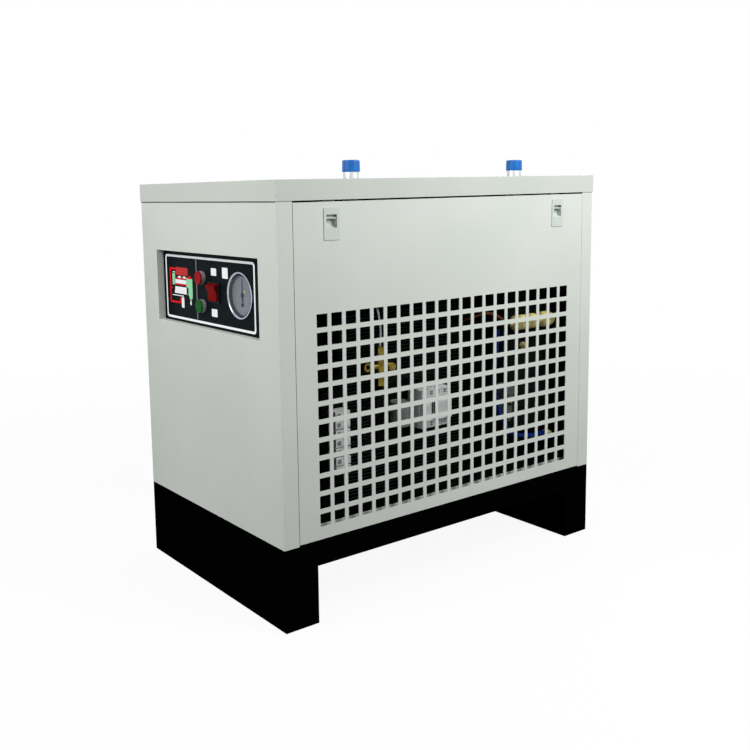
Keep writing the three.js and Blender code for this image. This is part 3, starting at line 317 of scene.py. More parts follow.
def curve_through(points, steps):
    """Points on a smooth curve through the given ones."""
    p = [Vector(q) for q in points]
    ends = [2 * p[0] - p[1]] + p + [2 * p[-1] - p[-2]]
    out = []
    for a, b, c, d in zip(ends, ends[1:], ends[2:], ends[3:]):
        for i in range(steps):
            t = i / steps
            squared, cubed = 2 * a - 5 * b + 4 * c - d, 3 * b - a - 3 * c + d
            out.append(0.5 * (2 * b + (c - a) * t + squared * t ** 2 + cubed * t ** 3))
    return out + [p[-1]]


def rounded_rectangle(x0, x1, z0, z1, radius, steps=6):
    outline = []
    corners = ((x1 - radius, z1 - radius, 0), (x0 + radius, z1 - radius, 90),
               (x0 + radius, z0 + radius, 180), (x1 - radius, z0 + radius, 270))
    for cx, cz, start in corners:
        for i in range(steps + 1):
            angle = radians(start + 90 * i / steps)
            outline.append((cx + radius * cos(angle), cz + radius * sin(angle)))
    return outline


def ribs(count, depth, first, last, phase=0.0):
    """Wave for turned(): grooves round the profile's points from first to last."""
    def wave(angle, index):
        return 1.0 - (depth * (0.5 + 0.5 * cos(count * angle + phase)) if first <= index <= last else 0.0)
    return wave


class Shape:
    """A mesh under construction, in mm. Shapes are added one by one, and save() makes it a piece."""

    def __init__(self, node=None):
        """Starts empty, or with a CAD node's mesh, welded, with its flat faces joined."""
        self.bm = bm = bmesh.new()
        if node:
            bm.from_mesh(frame["nodes"][node].data)
            bmesh.ops.scale(bm, vec=(1 / MM,) * 3, verts=bm.verts)
            bmesh.ops.remove_doubles(bm, verts=bm.verts, dist=0.002)
            bmesh.ops.dissolve_limit(bm, angle_limit=radians(0.6), verts=bm.verts, edges=bm.edges)

    def soften(self, width, segments=2, angle=28):
        """Rounds every edge sharper than angle, in degrees."""
        limit = radians(angle)
        sharp = [e for e in self.bm.edges if len(e.link_faces) == 2 and e.calc_face_angle(0) > limit]
        bmesh.ops.bevel(self.bm, geom=sharp, offset=width, segments=segments, profile=0.5, affect="EDGES",
                        clamp_overlap=True)
        return self

    def block(self, low, high, bevel=0.6, segments=2):
        """A box between two corners with rounded edges."""
        low, high = Vector(low), Vector(high)
        size = high - low
        matrix = Matrix.Translation((low + high) / 2) @ Matrix.Diagonal((*size, 1))
        verts = bmesh.ops.create_cube(self.bm, size=1, matrix=matrix)["verts"]
        edges = list({e for v in verts for e in v.link_edges})
        width = min(bevel, min(size) * 0.45)
        bmesh.ops.bevel(self.bm, geom=edges, offset=width, segments=segments, profile=0.5, affect="EDGES")
        return self

    def turned(self, profile, at, direction, sides, wave=None):
        """A profile of (radius, height) turned about an axis. wave(angle, index) scales a radius."""
        matrix = facing(direction, at)
        rings = []
        for index, (radius, height) in enumerate(profile):
            if radius < 1e-6:
                rings.append([self.bm.verts.new(matrix @ Vector((0, 0, height)))])
                continue
            ring = []
            for i in range(sides):
                angle = 2 * pi * i / sides
                reach = radius * (wave(angle, index) if wave else 1.0)
                point = Vector((reach * cos(angle), reach * sin(angle), height))
                ring.append(self.bm.verts.new(matrix @ point))
            rings.append(ring)
        for a, b in zip(rings, rings[1:]):
            for i in range(sides):
                j = (i + 1) % sides
                corners = [a[i % len(a)], a[j % len(a)], b[j % len(b)], b[i % len(b)]]
                unique = list(dict.fromkeys(corners))
                if len(unique) > 2:
                    self.bm.faces.new(unique)
        if profile[0] == profile[-1]:
            bmesh.ops.remove_doubles(self.bm, verts=rings[0] + rings[-1], dist=1e-5)
        else:
            for ring in (rings[0][::-1], rings[-1]):
                if len(ring) > 1:
                    self.bm.faces.new(ring)
        return self

    def prism(self, radius, low, high, at, direction, chamfer=0.8):
        """A hexagon with chamfered ends."""
        self.turned([(radius - chamfer, low), (radius, low + chamfer), (radius, high - chamfer),
                     (radius - chamfer, high)], at, direction, 6)

    def sweep(self, points, radius, sides, steps):
        """A round tube along a smooth curve, or along straight lines if steps is 0, with closed ends."""
        line = curve_through(points, steps) if steps else [Vector(q) for q in points]
        across = None
        rings = []
        for i, centre in enumerate(line):
            along = (line[min(i + 1, len(line) - 1)] - line[max(i - 1, 0)]).normalized()
            if across is None:
                across = along.orthogonal().normalized()
            across = (across - along * across.dot(along)).normalized()
            third = along.cross(across)
            turn = [2 * pi * k / sides for k in range(sides)]
            ring = [centre + radius * (across * cos(t) + third * sin(t)) for t in turn]
            rings.append([self.bm.verts.new(point) for point in ring])
        self.join(rings)
        self.bm.faces.new(rings[0][::-1])
        self.bm.faces.new(rings[-1])
        return self

    def join(self, loops):
        """Faces between each loop of points and the next."""
        for a, b in zip(loops, loops[1:]):
            for i in range(len(a)):
                j = (i + 1) % len(a)
                self.bm.faces.new((a[i], a[j], b[j], b[i]))

    def flat(self, outline, face_y, thickness):
        """A thin printed area on a plane that faces the front: outline of (x, z)."""
        front = [self.bm.verts.new((x, face_y - thickness, z)) for x, z in outline]
        back = [self.bm.verts.new((x, face_y, z)) for x, z in outline]
        self.bm.faces.new(front)
        self.bm.faces.new(back[::-1])
        for i in range(len(outline)):
            j = (i + 1) % len(outline)
            self.bm.faces.new((front[i], back[i], back[j], front[j]))
        return self

    def frame(self, outer, inner, face_y, thickness):
        """The printed area between two outlines that have the same number of points."""
        front = face_y - thickness
        loops = [[self.bm.verts.new((x, y, z)) for x, z in ring]
                 for ring, y in ((outer, front), (inner, front), (inner, face_y), (outer, face_y))]
        self.join(loops + loops[:1])

    def screw(self, at, direction, radius, height):
        """Pan head with a cross recess."""
        dome = [(radius, 0.0), (radius, height * 0.35), (radius * 0.86, height * 0.78), (radius * 0.5, height),
                (radius * 0.2, height), (radius * 0.14, height * 0.35), (0, height * 0.3)]
        self.turned(dome, at, direction, 20)

    def save(self, name, finish, *stands_for, body="cabinet", slot=None, crease=40):
        """Makes the piece: its shading, finish and body, and hides the CAD nodes that it stands for. The slot
        argument is not used.
        """
        bm = self.bm
        bmesh.ops.dissolve_degenerate(bm, dist=0.0005, edges=bm.edges)
        bmesh.ops.recalc_face_normals(bm, faces=bm.faces)
        for face in bm.faces:
            face.smooth = True
        for edge in bm.edges:
            edge.smooth = len(edge.link_faces) == 2 and edge.calc_face_angle(0) < radians(crease)
        bmesh.ops.scale(bm, vec=(MM,) * 3, verts=bm.verts)
        mesh = bpy.data.meshes.new(name)
        bm.to_mesh(mesh)
        bm.free()
        own_slot, material = FINISH[finish]
        mesh.materials.append(material)
        made = bpy.data.objects.new(name, mesh)
        bpy.context.scene.collection.objects.link(made)
        made.modifiers.new("weighted", "WEIGHTED_NORMAL").keep_sharp = True
        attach(made, body)
        if stands_for:
            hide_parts(*stands_for)
        return made


def paint_shade_inside(made, shows):
    """Gives the inside finish, a near-black painted shade, to the faces that shows(centre in mm, normal) turns
    down.
    """
    made.data.materials.append(FINISH["inside"][1])
    for face in made.data.polygons:
        if not shows(face.center / MM, face.normal):
            face.material_index = 1


# The shows functions pick the faces that keep their paint; the rest get the inside painted shade.
def shell_shows(at, normal):
    """True outside the cabinet's sheets, and on the walls of the control recess."""
    low, high = span("control_panel")
    recess = at.y < low.y + 0.1 and low.x < at.x < high.x and low.z < at.z < high.z and abs(normal.y) < 0.5
    return recess or abs(at.x) > SHELL_SIDE or abs(at.y) > SHELL_END or at.z > SHELL_TOP


RECESS_HALF = (75.5, 30.5)      # rear recess round its two fittings, in X and Z
RECESS_OFFSET = 10              # from the fittings' middle to the recess's middle, towards -X
RECESS_DEPTH = 21.2


def rear_shows(at, normal):
    """As shell_shows, and on the walls of the recess round the gland and the drain outlet."""
    centre = (middle("cable_gland") + middle("drain_outlet")) / 2
    out = Vector((at.x - centre.x + RECESS_OFFSET, 0, at.z - centre.z))
    inside = abs(out.x) < RECESS_HALF[0] and abs(out.z) < RECESS_HALF[1] and at.y > SHELL_END - RECESS_DEPTH
    faces_in = normal.y > 0.5 or normal.x * out.x + normal.z * out.z < 0
    return shell_shows(at, normal) or (inside and faces_in)


def panel_shows(at, normal):
    """True on a side panel's outer skin, and on what faces out through its openings."""
    return abs(at.x) > SHELL_SIDE or at.x * normal.x > 0.3 * abs(at.x)


def tray_shows(at, normal):
    """True on the outside of the tray's lips."""
    return abs(at.x) > span("base_tray")[1].x - 0.8


# ---- camera, light and floor

IMAGE = 750
SENSOR = 36.0
FOCAL_PIXELS = 929.6
PRINCIPAL = (303.1, 314.1)
CAMERA_AT = (1.36035, -1.11925, 0.68493)
YAW, PITCH, ROLL = (radians(a) for a in (144.786, -7.647, -1.2285))
AMBIENT = 0.38
SEEN_PAPER = (0.8, 0.8, 0.8, 1)     # the floor as the camera sees it, below its glow
FLOOR_HALF = 14
LAMPS = (   # name, place, aim, watts and size, in metres
    ("side_softbox", (1.1, 0.34, 1.32), (0.2, 0.02, 0.52), 17.6, 0.9),
    ("front_softbox", (0.1, -1.3, 1.2), (0, -0.36, 0.5), 10.5, 0.8),
    ("front_fill", (-0.3, -2.0, 0.5), (0, -0.36, 0.45), 2.2, 0.8),
    ("rear_softbox", (-1.7, 2.3, 1.6), (0, 0, 0.38), 30, 1.6),
)


def make_camera():
    forward = Vector((cos(YAW) * cos(PITCH), sin(YAW) * cos(PITCH), sin(PITCH)))
    level = Vector((sin(YAW), -cos(YAW), 0.0))
    upright = level.cross(forward)
    right = cos(ROLL) * level + sin(ROLL) * upright
    up = cos(ROLL) * upright - sin(ROLL) * level
    camera = bpy.data.objects.new("camera", bpy.data.cameras.new("camera"))
    bpy.context.scene.collection.objects.link(camera)
    camera.matrix_world = Matrix.Translation(CAMERA_AT) @ Matrix((right, up, -forward)).transposed().to_4x4()
    camera.data.sensor_width = SENSOR
    camera.data.lens = FOCAL_PIXELS * SENSOR / IMAGE
    camera.data.shift_x = (IMAGE / 2 - PRINCIPAL[0]) / IMAGE
    camera.data.shift_y = (PRINCIPAL[1] - IMAGE / 2) / IMAGE
    camera.data.clip_start, camera.data.clip_end = 0.05, 60
    bpy.context.scene.camera = camera


def make_lamps():
    for name, at, target, power, size in LAMPS:
        lamp = bpy.data.lights.new(name, "AREA")
        lamp.energy, lamp.shape, lamp.size = power, "DISK", size
        holder = bpy.data.objects.new(name, lamp)
        bpy.context.scene.collection.objects.link(holder)
        holder.location = at
        holder.visible_camera = False
        holder.rotation_euler = (Vector(target) - Vector(at)).to_track_quat("-Z", "Y").to_euler()


def seen_directly(tree):
    """1 for rays that show a thing straight, by mirror or through glass."""
    path = tree.nodes.new("ShaderNodeLightPath")
    total = path.outputs["Is Camera Ray"]
    for name in ("Is Glossy Ray", "Is Transmission Ray"):
        join = tree.nodes.new("ShaderNodeMath")
        join.operation = "MAXIMUM"
        tree.links.new(total, join.inputs[0])
        tree.links.new(path.outputs[name], join.inputs[1])
        total = join.outputs[0]
    return total


def make_world():
    """Even light all round, which shows as white."""
    world = bpy.data.worlds.new("studio")
    bpy.context.scene.world = world
    world.use_nodes = True
    tree = world.node_tree
    ambient = tree.nodes["Background"]
    ambient.inputs["Color"].default_value = (0.97, 0.99, 1.0, 1)
    ambient.inputs["Strength"].default_value = AMBIENT
    white = tree.nodes.new("ShaderNodeBackground")
    white.inputs["Color"].default_value = (1, 1, 1, 1)
    white.inputs["Strength"].default_value = 1.0
    choose = tree.nodes.new("ShaderNodeMixShader")
    tree.links.new(seen_directly(tree), choose.inputs[0])
    tree.links.new(ambient.outputs[0], choose.inputs[1])
    tree.links.new(white.outputs[0], choose.inputs[2])
    tree.links.new(choose.outputs[0], tree.nodes["World Output"].inputs["Surface"])


def make_floor():
    """A wide pale floor whose seen brightness is nearly white, with the object's shadow kept."""
    bm = bmesh.new()
    bmesh.ops.create_grid(bm, x_segments=4, y_segments=4, size=FLOOR_HALF)
    mesh = bpy.data.meshes.new("floor")
    bm.to_mesh(mesh)
    bm.free()
    floor = bpy.data.objects.new("floor", mesh)
    bpy.context.scene.collection.objects.link(floor)
    f = Finish("floor_paper", 0.9)
    seen = seen_directly(f.tree)
    unseen = f.mix(f.grain(3.0), (0.14, 0.14, 0.14, 1), (0.12, 0.12, 0.12, 1))
    paper = f.done(f.mix(seen, unseen, SEEN_PAPER))
    glow = f.add("ShaderNodeEmission")
    glow.inputs["Color"].default_value = (1, 1, 1, 1)
    glow.inputs["Strength"].default_value = 1.0
    away = f.add("ShaderNodeVectorMath", operation="LENGTH")
    f.feed(away.inputs[0], f.place)
    lift = f.times(seen, f.remap(away.outputs["Value"], 0.7, 2.2, 0.93, 1.0))
    choose = f.add("ShaderNodeMixShader")
    for index, value in enumerate((lift, f.shader.outputs[0], glow.outputs[0])):
        f.feed(choose.inputs[index], value)
    f.feed(f.tree.nodes["Material Output"].inputs["Surface"], choose.outputs[0])
    mesh.materials.append(paper)


make_camera()
make_world()
make_floor()
make_lamps()
bpy.context.scene.view_settings.view_transform = "Standard"


# ---- cabinet, base and side panels

SHEETS = (  # node, finish, rounding of its edges, and which of its faces show
    ("lid", "lid", 0.7, shell_shows),
    ("front_cover", "paint", 0.6, shell_shows),
    ("rear_cover", "paint", 0.6, rear_shows),
    ("right_top_rail", "paint", 0.4, shell_shows),
    ("left_top_rail", "paint", 0.4, shell_shows),
    ("base_tray", "paint", 0.5, tray_shows),
    ("front_foot", "base", 1, None),
    ("rear_foot", "base", 1, None),
    ("right_base_rail", "base", 1, None),
    ("left_base_rail", "base", 1, None),
    ("electrical_bracket", "bracket", 0.5, None),
    ("control_panel", "overlay", 0.3, None),
    ("compressor_terminal_cover", "black", 3, None),
)
SCREW_X = 205
SCREW_Z = (160, 285, 410, 535, 645)
# thin dark strip under the lid's skirt, a painted shadow line: half its length, its height and how far it stands
# proud, in mm
SHADOW_STRIP_HALF, SHADOW_STRIP_HEIGHT, SHADOW_STRIP_PROUD = 222, 1.2, 1.0


def finish_sheets():
    for node, finish, width, shows in SHEETS:
        made = Shape(node).soften(width).save(f"{node}_sheet", finish, node)
        if shows:
            paint_shade_inside(made, shows)


def finish_side_panel(side):
    panel, body = f"{side}_side_panel", f"{side}_panel"
    sheet = Shape(panel).soften(0.35).save(f"{side}_panel_sheet", "paint", panel, body=body)
    paint_shade_inside(sheet, panel_shows)
    for latch in (f"{side}_latch_a", f"{side}_latch_b"):
        bezel, slider = f"{latch}_bezel", f"{latch}_slider"
        Shape(bezel).soften(0.35).save(f"{bezel}_moulding", "latch", bezel, body=body)
        Shape(slider).soften(0.5, 3).save(f"{slider}_moulding", "latch", slider, body=latch)


def add_rear_screws():
    """Screws along the rear cover's edges."""
    heads = Shape()
    back = span("rear_cover")[1].y
    for x in (-SCREW_X, SCREW_X):
        for z in SCREW_Z:
            heads.screw((x, back, z), BACK, 3.4, 1.1)
    heads.save("rear_cover_screws", "steel")


def add_lid_shadow_strips():
    """Thin dark foam strip that shows under the lid's skirt, along the front and the rear cover: a painted shadow
    line under the lid.
    """
    top = span("lid")[0].z - 0.1
    for cover, near, far in (("front_cover", 0.1, -SHADOW_STRIP_PROUD), ("rear_cover", -0.1, SHADOW_STRIP_PROUD)):
        face = span(cover)[0 if far < 0 else 1].y
        y0, y1 = sorted((face + near, face + far))
        Shape().block((-SHADOW_STRIP_HALF, y0, top - SHADOW_STRIP_HEIGHT), (SHADOW_STRIP_HALF, y1, top), 0.25).save(
            f"{cover}_lid_shadow_strip", "foam")


def add_lid_grommets():
    """Rubber ring where each air pipe passes the lid."""
    top = span("lid")[1].z
    for name in ("inlet", "outlet"):
        pipe = middle(f"{name}_cap")
        Shape().turned([(14, -2.2), (17.6, -2.2), (17.6, 0), (20, 0), (20.4, 0.5), (20, 1.1), (14.6, 1.3),
                        (14, 0.6), (14, -2.2)], (pipe.x, pipe.y, top), Z, 48).save(f"{name}_grommet", "rubber")


finish_sheets()
finish_side_panel("right")
finish_side_panel("left")
add_rear_screws()
add_lid_shadow_strips()
add_lid_grommets()


# ---- control panel

PANEL_FACE = span("control_panel")[0].y
INK = 0.15
RAISED = 0.05       # more ink for the reds, which lie over the others
LABELS = ((2, 19.5, 545, 557.5), (38.75, 56.75, 542.5, 560.5), (0.75, 19.5, 475.5, 488.75))


def print_overlay():
    """Border, divider and blank label fields, printed on the dark film."""
    white = Shape()
    white.frame(rounded_rectangle(-162.5, 139.25, 460, 574.25, 6.5),
                rounded_rectangle(-158.5, 135.25, 464, 570.25, 4), PANEL_FACE, INK)
    for corners in LABELS:
        white.flat(rounded_rectangle(*corners, 1.6), PANEL_FACE, INK)
    white.save("overlay_border_and_labels", "ink_white")

    Shape().flat([(-50.6, 465), (-47.8, 465), (-47.8, 569.2), (-50.6, 569.2)], PANEL_FACE, INK).save(
        "overlay_divider", "ink_grey")


def bar(x0, x1, z0, z1):
    return [(x0, z0), (x1, z0), (x1, z1), (x0, z1)]


def blade(x0, x1):
    """A fan blade of the diagram, seen from its end."""
    return [(x0, 535.4), ((x0 + x1) / 2, 532.9), (x1, 535), ((x0 + x1) / 2, 537.2)]


# A plain refrigerant and air flow diagram: the outlines of each colour, in X and Z.
DIAGRAM = {
    "red": [
        bar(-147.5, -143.6, 488, 551), bar(-143.6, -125, 547.4, 551), bar(-143.6, -110, 488, 491.2),
        [(-113.2, 491.2), (-110, 491.2), (-108, 495.2), (-105, 495.2), (-105, 498), (-110.2, 498)],
        bar(-143.6, -138, 513.2, 515.2), bar(-127.4, -86.6, 520.6, 522.8), bar(-127.4, -86.6, 531.2, 533.4),
        [(-81, 533.6), (-70, 533.6), (-67.8, 536), (-72, 538), (-73.8, 541.4), (-76.2, 537),
         (-81, 537.6)],
    ],
    "salmon": [bar(-124.6, -79.6, 538.4 + 2.9 * i, 540.7 + 2.9 * i) for i in range(5)]
    + [bar(-124.6 + 3.95 * i, -123.2 + 3.95 * i, 538.4, 552.4) for i in range(12)],
    "mint": [
        bar(-138, -127.6, 520.6, 540.4), bar(-86, -64.4, 505, 534.4),
        [(-75.6, 498.6), (-66, 498.6), (-64.4, 505), (-77.2, 505)],
    ],
    "white": [
        blade(-119, -103.4), blade(-101, -85),
        bar(-129, -127.4, 520.6, 533.4), bar(-127.4, -86.6, 523.4, 530.6),
        [(-131, 505.6), (-79.4, 505.6), (-79.4, 517.8), (-127.4, 517.8)],
        bar(-138.8, -97.6, 501, 502.6), bar(-99.4, -97.6, 499.2, 501),
        rounded_rectangle(-105.8, -96.2, 481, 499.2, 1.6),
        [(-74.4, 490.2), (-72, 487.2), (-68.8, 490.2), (-69.8, 494.6), (-71.6, 499.6), (-73.4, 494.6)],
        bar(-136.4, -127, 542.2, 544),
    ],
}


def print_diagram():
    for colour, outlines in DIAGRAM.items():
        layer = Shape()
        for outline in outlines:
            layer.flat(outline, PANEL_FACE, INK + (RAISED if colour in ("red", "salmon") else 0))
        layer.save(f"overlay_diagram_{colour}", f"ink_{colour}")


def finish_switch():
    Shape("switch_housing").soften(0.6, 3).save("switch_bezel", "black", "switch_housing")
    Shape("power_rocker").soften(0.9, 3, 24).save("rocker_button", "rocker", "power_rocker", body="rocker")


LAMP_BORE = 6.6


def finish_lamp(colour):
    """Knurled collar, threaded stem behind the panel, and a ringed lens."""
    low, high, centre = place(f"{colour}_lamp_body")
    at = (centre.x, PANEL_FACE, centre.z)
    radius = (high.x - low.x) / 2
    front = PANEL_FACE - low.y
    Shape().turned([(LAMP_BORE, 0.4), (radius - 0.4, 0.4), (radius, 1), (radius, front - 1.2),
                    (radius - 0.5, front - 0.2), (LAMP_BORE, front - 0.2), (LAMP_BORE, 0.4)],
                   at, FRONT, 144, ribs(24, 0.045, 2, 3)).save(
        f"{colour}_lamp_collar", "collar", f"{colour}_lamp_body")

    depth = high.y - PANEL_FACE
    thread = [(0, -0.6), (LAMP_BORE, -0.6)]
    thread += [(7.5 if i % 2 else 7.85, -0.8 - i * 0.5) for i in range(int(depth - 2) * 2)]
    thread += [(7.4, -depth + 0.6), (5.8, -depth + 0.2), (0, -depth + 0.2)]
    Shape().turned(thread, at, FRONT, 40).save(f"{colour}_lamp_stem", "black", slot="chrome")

    reach = PANEL_FACE - span(f"{colour}_lamp_lens")[0].y
    profile = [(0, front + 0.3), (radius - 0.6, front + 0.3), (radius, front + 0.8), (radius, reach - 1),
               (radius - 0.35, reach - 0.45), (radius - 1, reach - 0.12)]
    for i in range(5):
        ring = radius - 2.2 - 1.9 * i
        profile += [(ring + 0.55, reach - 0.04), (ring, reach - 0.16)]
    Shape().turned(profile + [(0, reach - 0.02)], at, FRONT, 96).save(
        f"{colour}_lamp_cap", f"{colour}_lens", f"{colour}_lamp_lens")


SCALE_START, SCALE_SWEEP = 225, 270     # degrees
SCALE_MARKS = 80
SCALE_INK = 0.08


def finish_gauge():
    """Chrome rim, black cup, printed dial, needle and clear cover."""
    low, high = span("gauge_case")
    dial_low, dial_high, centre = place("gauge_dial")
    at = (centre.x, PANEL_FACE, centre.z)
    rim = (high.x - low.x) / 2
    proud = PANEL_FACE - low.y
    face = (dial_high.x - dial_low.x) / 2
    depth = dial_low.y - PANEL_FACE
    Shape().turned([(rim - 3.4, -0.9), (rim - 0.5, 0.35), (rim, 0.7), (rim - 0.25, proud - 0.35),
                    (rim - 1, proud), (rim - 2.2, proud - 0.1), (rim - 3.2, 0.7), (rim - 3.6, -0.2),
                    (rim - 3.4, -0.9)], at, FRONT, 128).save("gauge_rim", "chrome", "gauge_case")

    back = high.y - PANEL_FACE
    Shape().turned([(face + 0.4, -0.4), (face + 1.4, -0.4), (face + 1.4, -25.2), (face, -26), (6, -26.4),
                    (6, -back + 1), (5, -back), (0, -back), (0, -24.8), (face - 1.4, -24.8), (face + 0.4, -23.4),
                    (face + 0.4, -0.4)], at, FRONT, 96).save("gauge_cup", "black")

    Shape().turned([(1.7, -depth - 1), (face - 0.3, -depth - 1), (face, -depth - 0.7), (face, -depth - 0.2),
                    (face - 0.25, -depth), (1.7, -depth), (1.7, -depth - 1)], at, FRONT, 96).save(
        "gauge_dial_plate", "dial", "gauge_dial")

    print_scale(centre, face, dial_low.y)

    Shape().flat([(centre.x + x, centre.z + z) for x, z in bar(2.2, 7.6, 5.2, 7.4)], dial_low.y, SCALE_INK).save(
        "gauge_zone_mark", "ink_yellow")

    needle_low, needle_high = span("gauge_needle")
    tip = needle_high.z - centre.z
    tail = needle_low.z - centre.z + 3
    level = depth - 1.4
    part = Shape()
    outline = [(-1.3, 0), (-0.3, tip), (0.3, tip), (1.3, 0), (0.8, tail), (-0.8, tail)]
    part.flat([(centre.x + x, centre.z + z) for x, z in outline], PANEL_FACE + level, 0.5)
    part.turned([(0, -level - 0.2), (2.9, -level - 0.2), (2.9, -level + 0.5), (0, -level + 0.5)],
                (centre.x, PANEL_FACE, centre.z + tail), FRONT, 32)
    part.turned([(0, -level - 0.6), (3.1, -level - 0.6), (3.1, -level + 0.9), (2.2, -level + 1.5),
                 (0, -level + 1.7)], at, FRONT, 40)
    part.save("gauge_pointer", "needle", "gauge_needle", body="needle")

    lens = span("gauge_lens")
    top, bottom = PANEL_FACE - lens[0].y, PANEL_FACE - lens[1].y
    Shape().turned([(0, bottom), (face - 0.2, bottom), (face, bottom + 0.2), (face, top - 0.3),
                    (face * 0.8, top - 0.1), (0, top)], at, FRONT, 96).save(
        "gauge_window", "glass", "gauge_lens")


def print_scale(centre, face, dial_y):
    """A plain scale: marks of three lengths, and two arcs."""
    scale = Shape()
    for step in range(SCALE_MARKS + 1):
        angle = radians(SCALE_START - step * SCALE_SWEEP / SCALE_MARKS)
        length = 4.2 if step % 10 == 0 else 3.0 if step % 5 == 0 else 1.7
        width = 0.34 if step % 10 == 0 else 0.2
        out, side = Vector((cos(angle), sin(angle))), Vector((-sin(angle), cos(angle)))
        root = Vector((centre.x, centre.z)) + out * (face - 2.4 - length)
        tip = root + out * length
        corners = (root - side * width, tip - side * width, tip + side * width, root + side * width)
        scale.flat([tuple(corner) for corner in corners], dial_y, SCALE_INK)
    for inner, outer in ((face - 7.4, face - 7), (face - 12.6, face - 12.3)):
        arc = [radians(SCALE_START - SCALE_SWEEP * i / 72) for i in range(73)]
        for a, b in zip(arc, arc[1:]):
            scale.flat([(centre.x + r * cos(t), centre.z + r * sin(t))
                        for r, t in ((inner, a), (outer, a), (outer, b), (inner, b))], dial_y, SCALE_INK)
    scale.save("gauge_scale", "ink_black")


print_overlay()
print_diagram()
finish_switch()
finish_lamp("red")
finish_lamp("green")
finish_gauge()


# ---- air pipes and caps

PIPE_RADIUS, PIPE_BORE = 13.45, 10.0
THREAD_PITCH, THREAD_DEPTH = 1.8, 0.75
COLLAR = 18     # radius of the fittings on the pipes


def finish_pipes():
    """Zinc-plated pipe with a thread at its open end; the inlet turns level towards the exchanger."""
    cap_low = span("inlet_cap")[0].z
    for name in ("inlet", "outlet"):
        low, high = span(f"{name}_pipe")
        cap = middle(f"{name}_cap")
        top = high.z
        bottom = low.z + (20 if name == "inlet" else 7)
        profile = [(PIPE_BORE, bottom), (PIPE_RADIUS, bottom), (PIPE_RADIUS, cap_low + 1.5)]
        crest = cap_low + 2.0
        while crest + THREAD_PITCH < top - 1.2:
            profile += [(PIPE_RADIUS - THREAD_DEPTH, crest), (PIPE_RADIUS, crest + THREAD_PITCH / 2)]
            crest += THREAD_PITCH
        profile += [(PIPE_RADIUS - 0.8, top - 0.6), (PIPE_RADIUS - 1.4, top), (PIPE_BORE + 0.5, top),
                    (PIPE_BORE, top - 0.6), (PIPE_BORE, bottom)]
        pipe = Shape()
        pipe.turned(profile, (cap.x, cap.y, 0), Z, 64)
        if name == "inlet":
            level = low.z + 19.5
            length = high.y - cap.y
            pipe.turned([(12, 0), (COLLAR, 0), (18.4, 1.5), (18.4, 22), (17.4, 24), (12, 24), (12, 0)],
                        (cap.x, cap.y, level + 8), Z, 48)
            pipe.turned([(0, 0), (17, 0), (19.2, 4), (20, 10), (20, 17), (COLLAR, 22), (COLLAR, 32), (13.4, 33),
                         (13.4, length - 7), (COLLAR, length - 6.5), (COLLAR, length), (0, length)],
                        (cap.x, cap.y, level), Y, 48)
        else:
            pipe.turned([(PIPE_BORE, 0), (COLLAR, 0), (COLLAR, 5.6), (17, 6.6), (PIPE_BORE, 6.6),
                         (PIPE_BORE, 0)], (cap.x, cap.y, low.z), Z, 48)
        pipe.save(f"{name}_pipe_body", "zinc", f"{name}_pipe")


CAP_INNER = 13.95


def finish_caps():
    """Push-on cap: rounded crown, slightly wavy skirt, open inside."""
    for name in ("inlet", "outlet"):
        low, high, centre = place(f"{name}_cap")
        radius, height = (high.x - low.x) / 2, high.z - low.z
        cap = Shape()
        cap.turned([(CAP_INNER, 0.5), (radius - 0.5, 0), (radius, 0.7), (radius, height * 0.3),
                    (radius - 0.25, height * 0.62), (radius - 0.3, height - 2.2), (radius - 0.8, height - 0.9),
                    (radius - 1.9, height - 0.2), (radius * 0.5, height), (0, height), (0, height - 3.6),
                    (CAP_INNER - 0.6, height - 3.6), (CAP_INNER, height - 4.4), (CAP_INNER, 0.5)],
                   (centre.x, centre.y, low.z), Z, 80, ribs(5, 0.006, 1, 5, 0.8))
        cap.save(f"{name}_cap_moulding", "cap", f"{name}_cap", body=f"{name}_cap_body")


finish_pipes()
finish_caps()


# ---- refrigeration works

BOLT_X, BOLT_Y = 75, 60     # of the compressor's four bolts, from its middle
CORNERS = [(sx, sy) for sx in (-1, 1) for sy in (-1, 1)]
SHELL_RADIUS, DOME_RADIUS, DOME_HEIGHT = 85, 83, 56


